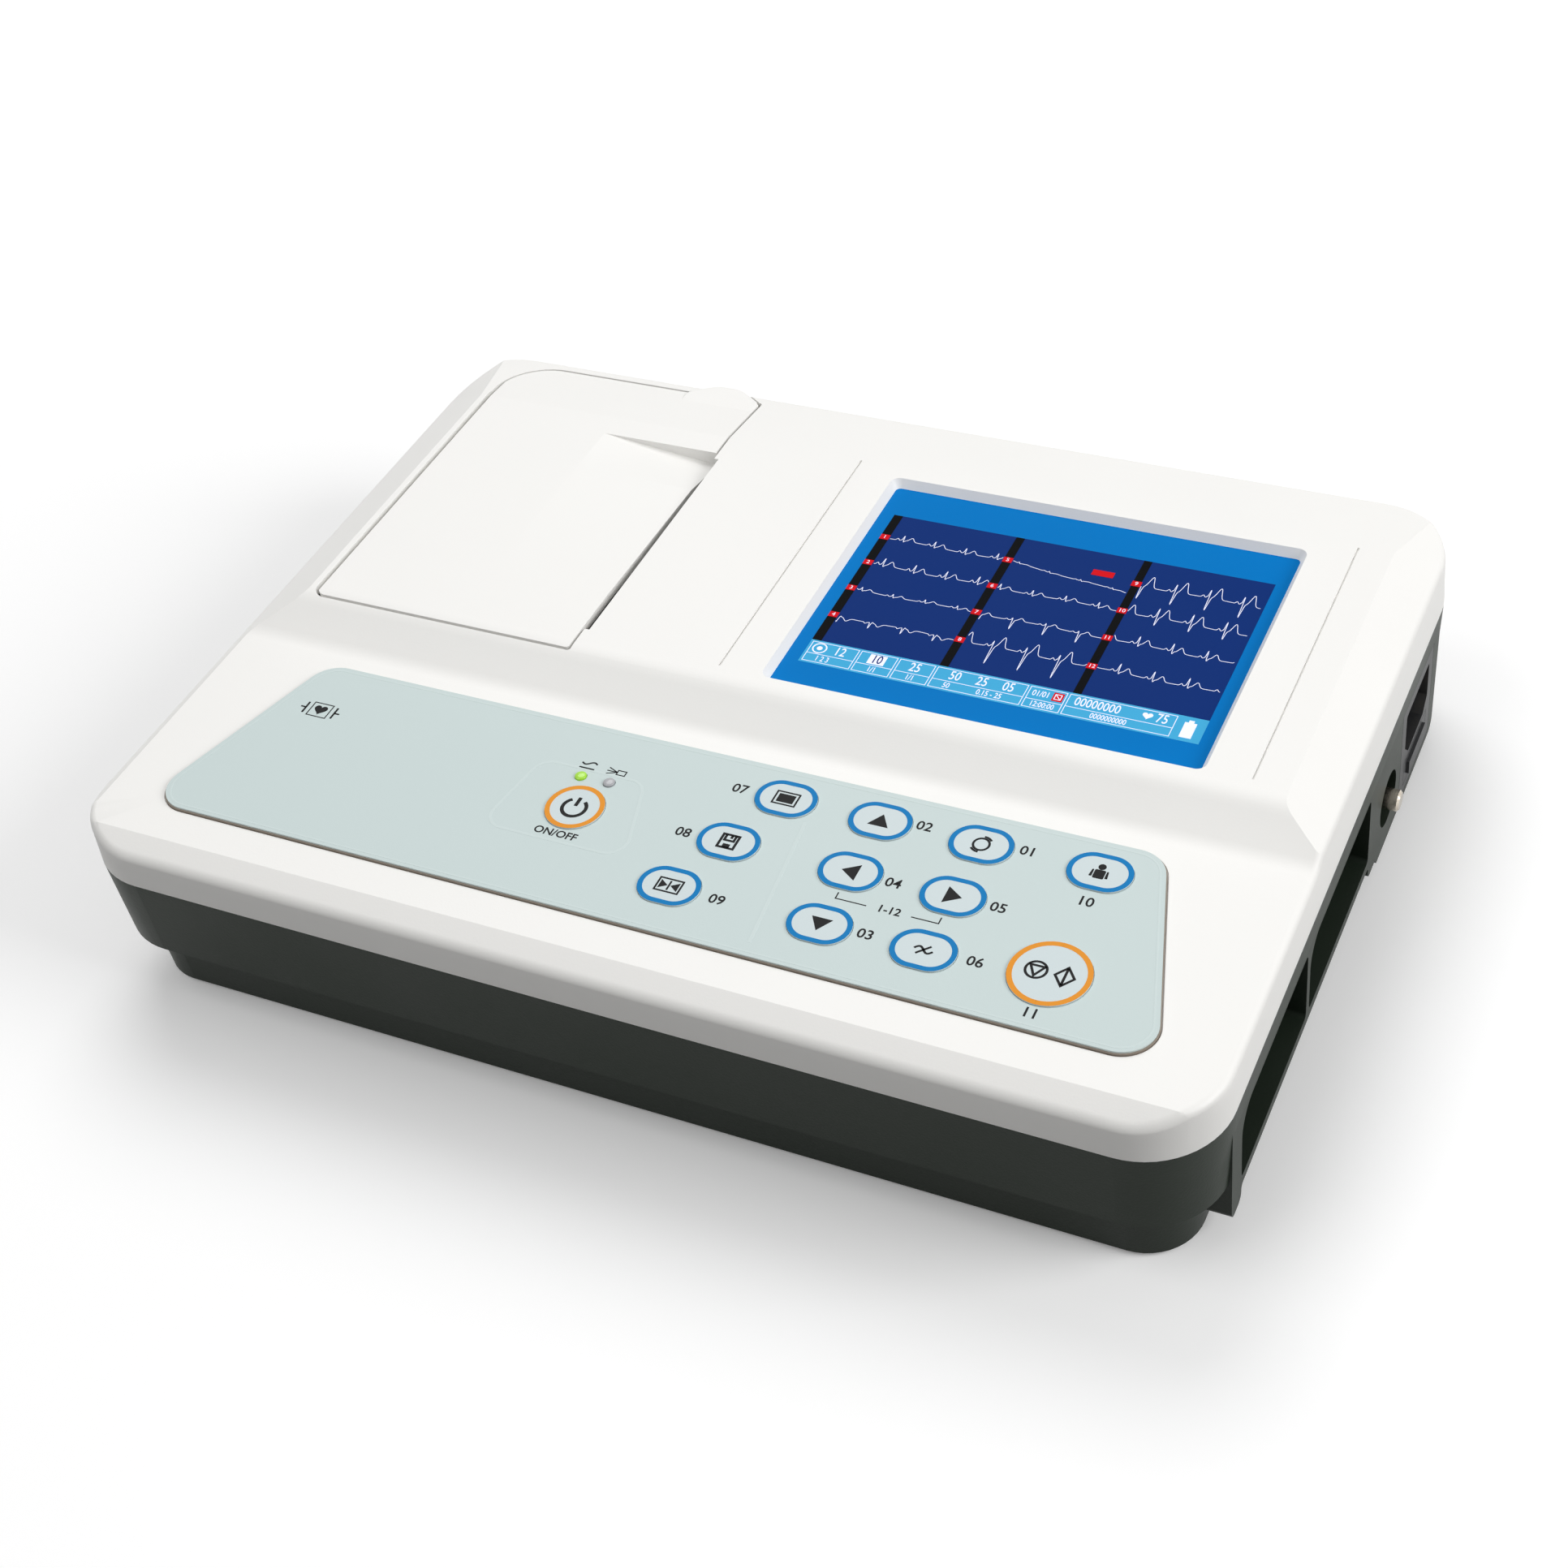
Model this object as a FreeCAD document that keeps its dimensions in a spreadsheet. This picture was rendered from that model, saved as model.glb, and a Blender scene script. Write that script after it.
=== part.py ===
import FreeCAD, Part
import math
import os
from FreeCAD import Placement, Rotation, Vector

# A portable three-channel ECG machine: a white upper shell on a dark lower case, a recorder under a hinged
# lid, a display, a membrane keypad and a row of sockets on the right side. Millimetres. X runs to the
# right, Y to the back and Z up. The origin is on the table, under the middle of the case.

SIZES = {
    # Case
    "case_width": 315.0,
    "case_depth": 230.0,
    "corner_radius": 22.0,
    "parting_height": 45.0,
    "shell_wall": 2.5,
    "floor_wall": 2.5,
    "band_height": 25.5,
    "band_draft": 1.3,
    "plinth_inset": 6.3,
    "plinth_draft": 1.0,
    "foot_height": 1.5,
    "foot_radius": 7.0,
    "foot_seat": 1.0,
    "foot_inset_across": 24.0,
    "foot_inset_along": 36.0,
    # Upper shell
    "shell_draft": 1.0,
    "key_deck_rise": 13.2,
    "rear_deck_rise": 20.5,
    "step_foot_from_front": 88.5,
    "step_crest_from_front": 101.0,
    "step_foot_radius": 9.0,
    "step_crest_radius": 12.0,
    "back_crease_from_back": 27.0,
    "back_fall": 3.4,
    "left_edge_inset": 17.0,
    "left_slope_angle": 29.5,
    "right_edge_inset": 13.0,
    "right_slope_angle": 25.0,
    "rim_radius": 2.2,
    "groove_width": 0.6,
    "groove_depth": 0.5,
    # Case screws
    "boss_radius": 4.4,
    "boss_inset": 17.5,
    "boss_right_shift": 2.0,
    "boss_middle_shift": 2.0,
    "left_boss_inset": 14.0,
    "left_boss_from_back": 23.0,
    "boss_below_parting": 5.0,
    "boss_skin": 1.0,
    "case_screw_radius": 1.5,
    "case_screw_head_radius": 2.75,
    "case_screw_head_height": 2.0,
    "case_screw_grip": 8.0,
    "case_screw_bite": 9.0,
    "screw_clearance": 0.1,
    "head_clearance": 0.25,
    # Display
    "window_width": 118.9,
    "window_depth": 88.7,
    "window_middle_x": 61.8,
    "window_from_front": 152.3,
    "window_bevel": 1.6,
    "window_thickness": 2.0,
    "window_overlap": 3.5,
    "bezel_side_margin": 13.8,
    "lcd_thickness": 6.0,
    "lcd_frame_wall": 1.0,
    "lcd_frame_clearance": 0.2,
    "lcd_ear_length": 8.0,
    "lcd_ear_thickness": 1.2,
    # Keypad
    "keypad_front_margin": 17.8,
    "keypad_depth": 63.8,
    "keypad_front_half": 141.0,
    "keypad_back_half": 121.8,
    "keypad_corner_radius": 9.0,
    "keypad_seat": 0.6,
    "keypad_seat_clearance": 0.3,
    "keypad_ledge": 3.0,
    "keypad_rim_gap": 0.2,
    "keypad_rim_wall": 0.7,
    "backing_thickness": 1.1,
    "overlay_thickness": 0.5,
    "overlay_edge": 0.3,
    "key_width": 16.6,
    "key_depth": 12.4,
    "run_key_diameter": 20.4,
    "power_key_diameter": 15.8,
    "key_stand": 0.4,
    "key_flange": 0.5,
    "key_flange_thickness": 0.7,
    "key_play": 0.05,
    "key_clearance": 0.15,
    "key_travel": 0.45,
    "key_stem_radius": 2.0,
    "key_column_pitch": 27.1,
    "key_row_pitch": 18.75,
    "first_key_column": 50.4,
    "key_rows_behind_middle": 2.15,
    "file_column": 24.3,
    "file_column_lean": 7.4,
    "side_key_column": 108.3,
    "run_key_from_front": 35.6,
    "power_key_x": -26.8,
    "power_key_from_front": 51.0,
    "lamp_radius": 1.6,
    "lamp_spacing": 8.4,
    "lamp_from_power_key": 11.1,
    "keypad_board_drop": 2.2,
    "keypad_board_thickness": 1.6,
    "dome_radius": 4.0,
    "dome_height": 0.5,
    # Recorder lid
    "lid_from_left": 19.7,
    "lid_from_front": 101.7,
    "lid_width": 82.8,
    "lid_from_back": 5.5,
    "lid_gap": 0.8,
    "lid_back_radius": 15.0,
    "lid_front_radius": 3.0,
    "lid_edge_relief": 0.3,
    "hinge_inset": 16.0,
    "hinge_drop": 5.5,
    "hinge_pin_radius": 1.25,
    "hinge_lug_radius": 2.7,
    "hinge_clearance": 0.05,
    "slot_width": 2.2,
    "slot_over_paper": 1.0,
    "chute_width": 37.6,
    "chute_fall": 4.5,
    "chute_crease_fall": 1.5,
    "chute_crease_from_wall": 17.0,
    "chute_from_lid_front": 24.3,
    "chute_length": 68.7,
    "chute_end_wall": 2.0,
    "tab_width": 24.8,
    "tab_reach": 5.4,
    "tab_from_right": 12.4,
    "tab_thickness": 3.2,
    "tab_slant": 8.4,
    "tab_tip_radius": 10.0,
    "tab_side_radius": 4.0,
    "tab_edge_radius": 0.8,
    "tab_drop": 2.1,
    # Recorder
    "paper_width": 80.0,
    "paper_from_lid_front": 49.3,
    "roll_radius": 22.0,
    "roll_core_radius": 6.5,
    "roll_from_hinge": 17.8,
    "roll_floor_gap": 3.0,
    "spindle_radius": 3.0,
    "spindle_clearance": 0.1,
    "cheek_wall": 2.0,
    "cheek_from_paper": 6.0,
    "cheek_top_drop": 9.5,
    "chassis_floor": 2.0,
    "chassis_left_margin": 2.0,
    "chassis_right_margin": 14.5,
    "platen_radius": 6.0,
    "platen_from_edge": 9.5,
    "platen_drop": 14.0,
    "platen_over_paper": 0.5,
    "platen_shaft_radius": 2.0,
    "bush_wall": 1.5,
    "bush_flange": 1.0,
    "running_clearance": 0.05,
    "ear_wall": 2.0,
    "ear_from_paper": 2.0,
    "ear_half_width": 5.5,
    "gear_module": 0.7,
    "gear_width": 5.0,
    "gear_from_cheek": 1.5,
    "gear_backlash": 0.12,
    "platen_gear_teeth": 24,
    "idler_gear_teeth": 26,
    "pinion_teeth": 16,
    "idler_pin_radius": 1.5,
    "motor_radius": 12.0,
    "motor_length": 18.0,
    "motor_floor_gap": 4.0,
    "motor_from_platen": 0.5,
    "motor_shaft_radius": 1.0,
    "head_gap": 0.3,
    "head_thickness": 1.7,
    "head_width": 14.0,
    "head_plate_thickness": 3.5,
    "head_plate_reach": 10.0,
    "head_pivot_from_platen": 14.5,
    "head_pivot_radius": 1.25,
    "head_length": 76.0,
    "head_spring_radius": 3.0,
    "head_spring_wire": 0.4,
    "head_spring_length": 6.5,
    "head_spring_turns": 4,
    "head_spring_spread": 44.0,
    "shelf_thickness": 2.0,
    # Electronics
    "board_thickness": 1.6,
    "standoff_radius": 3.2,
    "board_screw_radius": 1.25,
    "board_screw_head_radius": 2.5,
    "board_screw_head_height": 1.8,
    "board_screw_length": 4.0,
    "main_board_from_battery": 4.0,
    "main_board_from_bay": 4.5,
    "main_board_from_front": 23.0,
    "main_board_depth": 122.0,
    "main_board_rise": 10.0,
    "power_board_from_right": 39.5,
    "power_board_length": 110.0,
    "power_board_from_back": 13.0,
    "power_board_depth": 60.0,
    "power_board_rise": 6.0,
    "board_hole_inset": 5.0,
    "capacitor_radius": 5.0,
    "capacitor_height": 20.0,
    "buzzer_radius": 6.0,
    "buzzer_bore": 1.0,
    "buzzer_height": 8.5,
    "battery_length": 72.0,
    "battery_width": 62.0,
    "battery_height": 20.0,
    "battery_from_left": 39.5,
    "battery_from_front": 21.0,
    "battery_clearance": 1.0,
    "battery_wall": 1.5,
    "battery_cover_lip": 4.0,
    "battery_roof": 1.5,
    "battery_cover_thickness": 1.4,
    "battery_cover_gap": 0.3,
    "cover_hook_width": 8.0,
    "cover_hook_wall": 0.7,
    "cover_hook_height": 3.0,
    "cover_hook_reach": 0.8,
    # Right side
    "bay_depth": 11.5,
    "bay_wall": 2.5,
    "bay_floor_height": 13.5,
    "bay_height": 22.5,
    "front_bay_from_front": 28.0,
    "front_bay_length": 53.5,
    "rear_bay_length": 55.0,
    "bay_rib": 2.5,
    "bay_roof": 3.0,
    "bay_corner_radius": 1.5,
    "bay_top_radius": 8.0,
    "housing_inset": 0.4,
    "housing_front_from_front": 20.5,
    "housing_length": 187.0,
    "housing_bottom": 3.5,
    "lobe_bottom": 6.0,
    "lobe_length": 7.5,
    "bay_underside_wall": 3.0,
    "stud_from_front": 158.5,
    "stud_height": 19.0,
    "stud_recess_radius": 8.0,
    "stud_recess_depth": 5.0,
    "stud_radius": 3.0,
    "stud_stand": 3.0,
    "stud_collar_radius": 4.6,
    "stud_collar_height": 2.0,
    "stud_nut_radius": 5.0,
    "stud_nut_height": 3.0,
    "stud_wall": 3.0,
    "inlet_from_front": 187.0,
    "inlet_flange": 31.6,
    "inlet_height": 21.5,
    "inlet_flange_thickness": 1.5,
    "inlet_body_width": 27.0,
    "inlet_body_height": 28.0,
    "inlet_body_depth": 26.0,
    "inlet_fit": 0.2,
    "socket_width": 23.5,
    "socket_height": 15.5,
    "socket_depth": 17.0,
    "socket_top_margin": 1.6,
    "blade_length": 14.0,
    "drawer_width": 23.0,
    "drawer_height": 8.2,
    "drawer_depth": 22.0,
    "drawer_clearance": 0.2,
    "drawer_bottom_margin": 1.2,
    "drawer_grip": 0.8,
    "drawer_floor": 1.8,
    "fuse_spacing": 11.0,
    "blade_width": 4.0,
    "blade_thickness": 2.0,
    "blade_spacing": 14.0,
    "earth_blade_rise": 4.0,
    "blade_tail": 5.0,
    "fuse_radius": 2.5,
    "fuse_length": 20.0,
    "connector_collar_depth": 6.0,
    "connector_body_depth": 11.0,
    "connector_flange_thickness": 0.8,
    "connector_flange_height": 12.5,
    "connector_collar_height": 8.3,
    "connector_axis_rise": 8.6,
    "patient_flange_width": 39.2,
    "patient_collar_width": 25.0,
    "serial_flange_width": 30.8,
    "serial_collar_width": 16.9,
    "serial_from_rib": 17.5,
    "usb_from_rib": 44.0,
    "jack_post_radius": 2.6,
    "jack_post_height": 4.0,
    "jack_post_shank": 2.0,
    "jack_thread_radius": 1.4,
    "jack_thread_depth": 5.0,
    "patient_post_spacing": 33.3,
    "serial_post_spacing": 25.0,
    "contact_pitch": 2.77,
    "contact_row_gap": 2.84,
    "contact_radius": 0.5,
    "contact_depth": 4.0,
    "usb_width": 13.1,
    "usb_height": 5.7,
    "usb_depth": 17.0,
    "connector_wall": 0.6,
    "connector_clearance": 0.3,
}


class Dim:
    """A size: its number, and the sheet expression that gives it."""

    def __init__(self, number, text):
        self.number = number
        self.text = text

    def __float__(self):
        return float(self.number)

    def __add__(self, other):
        return combine(self, "+", other)

    def __radd__(self, other):
        return combine(other, "+", self)

    def __sub__(self, other):
        return combine(self, "-", other)

    def __rsub__(self, other):
        return combine(other, "-", self)

    def __mul__(self, other):
        return combine(self, "*", other)

    def __rmul__(self, other):
        return combine(other, "*", self)

    def __truediv__(self, other):
        return combine(self, "/", other)

    def __neg__(self):
        return combine(0.0, "-", self)


def dim(value):
    return value if isinstance(value, Dim) else Dim(float(value), repr(float(value)))


def combine(first, sign, second):
    a, b = dim(first), dim(second)
    numbers = {"+": a.number + b.number, "-": a.number - b.number, "*": a.number * b.number}
    number = numbers[sign] if sign in numbers else a.number / b.number
    return Dim(number, f"({a.text} {sign} {b.text})")


class SizeTable:
    """Every named size, as an attribute."""


doc = FreeCAD.newDocument("ecg_machine")
sheet = doc.addObject("Spreadsheet::Sheet", "Sizes")
s = SizeTable()
for row, (name, number) in enumerate(SIZES.items(), start=1):
    sheet.set(f"A{row}", name)
    sheet.set(f"B{row}", str(number))
    sheet.setAlias(f"B{row}", name)
    setattr(s, name, Dim(float(number), f"Sizes.{name}"))
doc.recompute()

subparts = []


def part(obj, label):
    """Name a finished piece; its label names its file."""
    obj.Label = label
    subparts.append(obj)
    return obj


def bind(obj, path, value):
    obj.setExpression(path, dim(value).text)


def place(obj, x, y, z):
    for axis, value in zip("xyz", (x, y, z)):
        bind(obj, f"Placement.Base.{axis}", value)
    return obj


def box(name, x, y, z):
    """A block between two values on each axis."""
    obj = doc.addObject("Part::Box", name)
    for prop, (low, high) in zip(("Length", "Width", "Height"), (x, y, z)):
        bind(obj, prop, dim(high) - low)
    return place(obj, x[0], y[0], z[0])


AXIS_TURNS = {
    "x": Rotation(Vector(0, 1, 0), 90),
    "y": Rotation(Vector(1, 0, 0), -90),
    "z": Rotation(),
}


def round_bar(name, axis, radius, along, middle, top_radius=None):
    """A cylinder, or a cone where it has a top radius, along an axis; middle gives its other two values."""
    obj = doc.addObject("Part::Cylinder" if top_radius is None else "Part::Cone", name)
    if top_radius is None:
        bind(obj, "Radius", radius)
    else:
        bind(obj, "Radius1", radius)
        bind(obj, "Radius2", top_radius)
    bind(obj, "Height", dim(along[1]) - along[0])
    obj.Placement = Placement(Vector(), AXIS_TURNS[axis])
    u, v = middle
    spots = {"x": (along[0], u, v), "y": (u, along[0], v), "z": (u, v, along[0])}
    return place(obj, *spots[axis])


def tube(name, axis, radius, bore, along, middle):
    past = (dim(along[0]) - 1, dim(along[1]) + 1)
    outside = round_bar(name + "_outside", axis, radius, along, middle)
    return cut(name, outside, [round_bar(name + "_bore", axis, bore, past, middle)])


def fuse(name, pieces):
    obj = doc.addObject("Part::MultiFuse", name)
    obj.Shapes = pieces
    obj.Refine = True
    return obj


def cut(name, base, tools):
    obj = doc.addObject("Part::Cut", name)
    obj.Base = base
    obj.Tool = tools[0] if len(tools) == 1 else fuse(name + "_tools", tools)
    obj.Refine = True
    return obj


def group(name, pieces):
    obj = doc.addObject("Part::Compound", name)
    obj.Links = pieces
    return obj


def feature(name, shape):
    obj = doc.addObject("Part::Feature", name)
    obj.Shape = shape
    return obj


# Outlines: corners are (u, v, radius) in one plane, and prism carries the outline along the third axis.

PLANES = {
    "xy": (lambda u, v, w: Vector(u, v, w), Vector(0, 0, 1)),
    "xz": (lambda u, v, w: Vector(u, w, v), Vector(0, 1, 0)),
    "yz": (lambda u, v, w: Vector(w, u, v), Vector(1, 0, 0)),
}


def outline(corners, plane, level):
    """A closed wire through corners, each rounded by a tangent arc of its own radius."""
    point = PLANES[plane][0]
    spots = [Vector(float(u), float(v), 0) for u, v, r in corners]
    runs = []
    for i, (u, v, r) in enumerate(corners):
        here = spots[i]
        before = (spots[i - 1] - here).normalize()
        after = (spots[(i + 1) % len(spots)] - here).normalize()
        if float(r) <= 0:
            runs.append((here, here, here))
            continue
        half = math.acos(max(-1.0, min(1.0, before.dot(after)))) / 2
        reach = float(r) / math.tan(half)
        inward = (before + after).normalize()
        middle = here + inward * (float(r) / math.sin(half) - float(r))
        runs.append((here + before * reach, middle, here + after * reach))
    edges = []
    for i, (start, middle, end) in enumerate(runs):
        if (end - start).Length > 1e-6:
            bend = [point(p.x, p.y, float(level)) for p in (start, middle, end)]
            edges.append(Part.Arc(*bend).toShape())
        following = runs[(i + 1) % len(runs)][0]
        if (following - end).Length > 1e-6:
            ends = [point(p.x, p.y, float(level)) for p in (end, following)]
            edges.append(Part.LineSegment(*ends).toShape())
    return Part.Wire(edges)


def prism(corners, plane, low, high):
    face = Part.Face(outline(corners, plane, low))
    return face.extrude(PLANES[plane][1] * (float(high) - float(low)))


def rectangle(x, y, radius):
    return [(x[0], y[0], radius), (x[1], y[0], radius), (x[1], y[1], radius), (x[0], y[1], radius)]


def loft(low_corners, low, high_corners, high):
    wires = [outline(low_corners, "xy", low), outline(high_corners, "xy", high)]
    return Part.makeLoft(wires, True, True)


# Main levels and edges of the case

half_width = s.case_width / 2
half_depth = s.case_depth / 2
front = -half_depth
back = half_depth
parting = s.parting_height
key_deck = parting + s.key_deck_rise
rear_deck = parting + s.rear_deck_rise
deck_under = rear_deck - s.shell_wall
plinth_bottom = s.foot_height
floor_top = plinth_bottom + s.floor_wall
band_bottom = parting - s.band_height

lid_left = -half_width + s.lid_from_left
lid_right = lid_left + s.lid_width
lid_front = front + s.lid_from_front
lid_back = back - s.lid_from_back
lid_depth = lid_back - lid_front
hinge_x = lid_left + s.hinge_inset
hinge_z = rear_deck - s.hinge_drop
paper_y = lid_front + s.paper_from_lid_front
paper_low = paper_y - s.paper_width / 2
paper_high = paper_y + s.paper_width / 2

PAST = 5.0


def case_corners(inset):
    """The rounded rectangle of the case, drawn in by inset."""
    across = (-float(half_width) + inset, float(half_width) - inset)
    along = (float(front) + inset, float(back) - inset)
    return rectangle(across, along, max(float(s.corner_radius) - inset, 1.0))


def case_loft(low_inset, low, high_inset, high):
    return loft(case_corners(float(low_inset)), low, case_corners(float(high_inset)), high)


def deck_solid(drop):
    """What lies under the decks: the side profile carried across, trimmed by the left and right slopes."""
    down = float(drop)
    base = float(parting) - PAST
    low, high = float(key_deck) - down, float(rear_deck) - down
    rear = float(back) + PAST
    crease = float(back - s.back_crease_from_back)
    fall = float(s.back_fall / s.back_crease_from_back) * (rear - crease)
    profile = [
        (float(front) - PAST, base, 0),
        (float(front) - PAST, low, 0),
        (front + s.step_foot_from_front, low, s.step_foot_radius),
        (front + s.step_crest_from_front, high, s.step_crest_radius),
        (crease, high, 0),
        (rear, high - fall, 0),
        (rear, base, 0),
    ]
    side = float(half_width) + PAST
    across = prism(profile, "yz", -side, side)
    left_edge = -float(half_width) + float(s.left_edge_inset)
    right_edge = float(half_width) - float(s.right_edge_inset)
    left_fall = (left_edge + side) * math.tan(math.radians(float(s.left_slope_angle)))
    right_fall = (side - right_edge) * math.tan(math.radians(float(s.right_slope_angle)))
    slopes = [
        (-side, base, 0),
        (-side, high - left_fall, 0),
        (left_edge, high, 0),
        (right_edge, high, 0),
        (side, high - right_fall, 0),
        (side, base, 0),
    ]
    along = prism(slopes, "xz", float(front) - PAST, float(back) + PAST)
    return across.common(along)


def upper_shell():
    """The white shell before its openings are cut, with its rim rounded."""
    top = float(rear_deck) + PAST
    wall = float(s.shell_wall)
    slack = float(parting) - 1
    outside = case_loft(0, parting, s.shell_draft, top).common(deck_solid(0)).Solids[0]
    rim = []
    for edge in outside.Edges:
        middle = edge.valueAt((edge.FirstParameter + edge.LastParameter) / 2)
        faces = outside.ancestorsOfType(edge, Part.Face)
        flats = [abs(face.normalAt(*face.Surface.parameter(middle)).z) for face in faces]
        if middle.z > float(parting) + 1 and min(flats) < 0.2 < max(flats):
            rim.append(edge)
    outside = outside.makeFillet(float(s.rim_radius), rim)
    inside = case_loft(wall, slack, float(s.shell_draft) + wall, top).common(deck_solid(wall))
    return outside, outside.cut(inside).Solids[0]


shell_outside, shell_blank = upper_shell()


# Case screws stand in bosses at the corners and at the middle of the front and back

boss_split = parting - s.boss_below_parting
screw_seat = boss_split - s.case_screw_grip
right_boss = half_width - s.boss_inset - s.boss_right_shift
front_boss = front + s.boss_inset
back_boss = back - s.boss_inset
boss_spots = [
    (-half_width + s.boss_inset, front_boss),
    (right_boss, front_boss),
    (-half_width + s.left_boss_inset, back - s.left_boss_from_back),
    (right_boss, back_boss),
    (dim(0), front_boss - s.boss_middle_shift),
    (dim(0), back_boss + s.boss_middle_shift),
]


# Keypad levels and outlines

pocket_floor = key_deck - s.keypad_seat
backing_top = pocket_floor + s.backing_thickness
overlay_top = backing_top + s.overlay_thickness
key_top = overlay_top + s.key_stand
flange_top = backing_top - s.key_play
flange_bottom = flange_top - s.key_flange_thickness
keypad_board_top = key_deck - s.keypad_board_drop
keypad_board_bottom = keypad_board_top - s.keypad_board_thickness
dome_top = keypad_board_top + s.dome_height
stem_bottom = dome_top + s.key_travel + s.key_play


def keypad_corners(inset):
    """The keypad outline, wider at the front, drawn in by inset."""
    drawn = float(inset)
    low, deep = float(front + s.keypad_front_margin), float(s.keypad_depth)
    wide, narrow = float(s.keypad_front_half), float(s.keypad_back_half)
    lean = (wide - narrow) / deep
    side = drawn * math.hypot(1, lean)
    near, far = wide - lean * drawn - side, narrow + lean * drawn - side
    radius = max(float(s.keypad_corner_radius) - drawn, 0.5)
    high = low + deep - drawn
    low += drawn
    return [(-near, low, radius), (near, low, radius), (far, high, radius), (-far, high, radius)]


first_row = front + s.keypad_front_margin + s.keypad_depth / 2 + s.key_rows_behind_middle + s.key_row_pitch
second_row = first_row - s.key_row_pitch
third_row = second_row - s.key_row_pitch
first_column = s.first_key_column
second_column = first_column + s.key_column_pitch
lean = s.file_column_lean
power_y = front + s.power_key_from_front
KEYS = {
    "key_menu": (s.file_column, first_row, s.key_width, s.key_depth),
    "key_file": (s.file_column - lean, second_row, s.key_width, s.key_depth),
    "key_freeze": (s.file_column - lean - lean, third_row, s.key_width, s.key_depth),
    "key_up": (first_column, first_row, s.key_width, s.key_depth),
    "key_mode": (second_column, first_row, s.key_width, s.key_depth),
    "key_left": (first_column, second_row, s.key_width, s.key_depth),
    "key_right": (second_column, second_row, s.key_width, s.key_depth),
    "key_down": (first_column, third_row, s.key_width, s.key_depth),
    "key_filter": (second_column, third_row, s.key_width, s.key_depth),
    "key_patient": (s.side_key_column, first_row, s.key_width, s.key_depth),
    "key_run": (s.side_key_column, front + s.run_key_from_front, s.run_key_diameter, s.run_key_diameter),
    "key_power": (s.power_key_x, power_y, s.power_key_diameter, s.power_key_diameter),
}
lamp_y = power_y + s.lamp_from_power_key
LAMPS = {
    "led_mains": s.power_key_x - s.lamp_spacing / 2,
    "led_battery": s.power_key_x + s.lamp_spacing / 2,
}


def pad(x, y, width, depth, low, high):
    """A block with fully rounded ends."""
    across = (x - width / 2, x + width / 2)
    along = (y - depth / 2, y + depth / 2)
    return prism(rectangle(across, along, depth / 2), "xy", low, high)


def key_holes(name, grow, low, high):
    """Clearance holes for every key and lamp."""
    tools = []
    for key, (x, y, width, depth) in KEYS.items():
        tools.append(pad(x, y, width + grow * 2, depth + grow * 2, low, high))
    hole = s.lamp_radius + s.screw_clearance
    for x in LAMPS.values():
        tools.append(pad(x, lamp_y, hole * 2, hole * 2, low, high))
    return feature(name, Part.makeCompound(tools))


# Display

window_y = front + s.window_from_front
window_top = deck_under
window_bottom = window_top - s.window_thickness
window_x = (s.window_middle_x - s.window_width / 2, s.window_middle_x + s.window_width / 2)
window_span = (window_y - s.window_depth / 2, window_y + s.window_depth / 2)


def grown(span, by):
    return (span[0] - by, span[1] + by)


def window_cut():
    """The display opening, with its four sides bevelled outwards."""
    steep = s.window_bevel / s.shell_wall
    low = rectangle(grown(window_x, -steep), grown(window_span, -steep), 1.0)
    rise = steep * (s.shell_wall + 1)
    high = rectangle(grown(window_x, rise), grown(window_span, rise), 1.0 + float(rise))
    return loft(low, deck_under - 1, high, rear_deck + 1)


plate_x = grown(window_x, s.window_overlap)
plate_y = grown(window_span, s.window_overlap)
window = box("window_plate", plate_x, plate_y, (window_bottom, window_top))
part(window, "display_window")

lcd_x = grown(window_x, s.window_overlap - 0.5)
lcd_y = grown(window_span, s.window_overlap - 0.5)
lcd_bottom = window_bottom - s.lcd_thickness
part(box("lcd", lcd_x, lcd_y, (lcd_bottom, window_bottom)), "lcd_panel")

tray_wall = s.lcd_frame_clearance + s.lcd_frame_wall
tray_x = grown(lcd_x, tray_wall)
tray_y = grown(lcd_y, tray_wall)
tray = box("lcd_tray", tray_x, tray_y, (lcd_bottom - s.lcd_frame_wall, window_bottom))
tray_hollow = box(
    "lcd_tray_hollow",
    grown(lcd_x, s.lcd_frame_clearance),
    grown(lcd_y, s.lcd_frame_clearance),
    (lcd_bottom, window_bottom + 1),
)
ear_x = [tray_x[0] - s.lcd_ear_length / 2, tray_x[1] + s.lcd_ear_length / 2]
ear_y = [window_y - s.window_depth / 3, window_y + s.window_depth / 3]
ear_bottom = window_bottom - s.lcd_ear_thickness
display_spots = [(x, y) for x in ear_x for y in ear_y]
ear_half = s.lcd_ear_length / 2
ears = []
for i, (x, y) in enumerate(display_spots):
    along = (y - ear_half, y + ear_half)
    ears.append(box(f"lcd_ear_{i}", (x - ear_half - 0.2, x + ear_half + 0.2), along, (ear_bottom, window_bottom)))
ear_holes = []
for i, (x, y) in enumerate(display_spots):
    hole = s.board_screw_radius + s.screw_clearance
    ear_holes.append(round_bar(f"lcd_ear_hole_{i}", "z", hole, (ear_bottom - 1, window_bottom + 1), (x, y)))
part(cut("lcd_frame_body", fuse("lcd_tray_ears", [tray] + ears), [tray_hollow] + ear_holes), "lcd_frame")


# Recorder lid outline

LID_EDGE = 1.0


def lid_corners(grow):
    by = float(grow)
    left, right = float(lid_left) - by, float(lid_right) + by
    low, high = float(lid_front) - by, float(lid_back) + by
    near, far = float(s.lid_front_radius) + by, float(s.lid_back_radius) + by
    return [(left, low, near), (right, low, LID_EDGE), (right, high, LID_EDGE), (left, high, far)]


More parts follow.
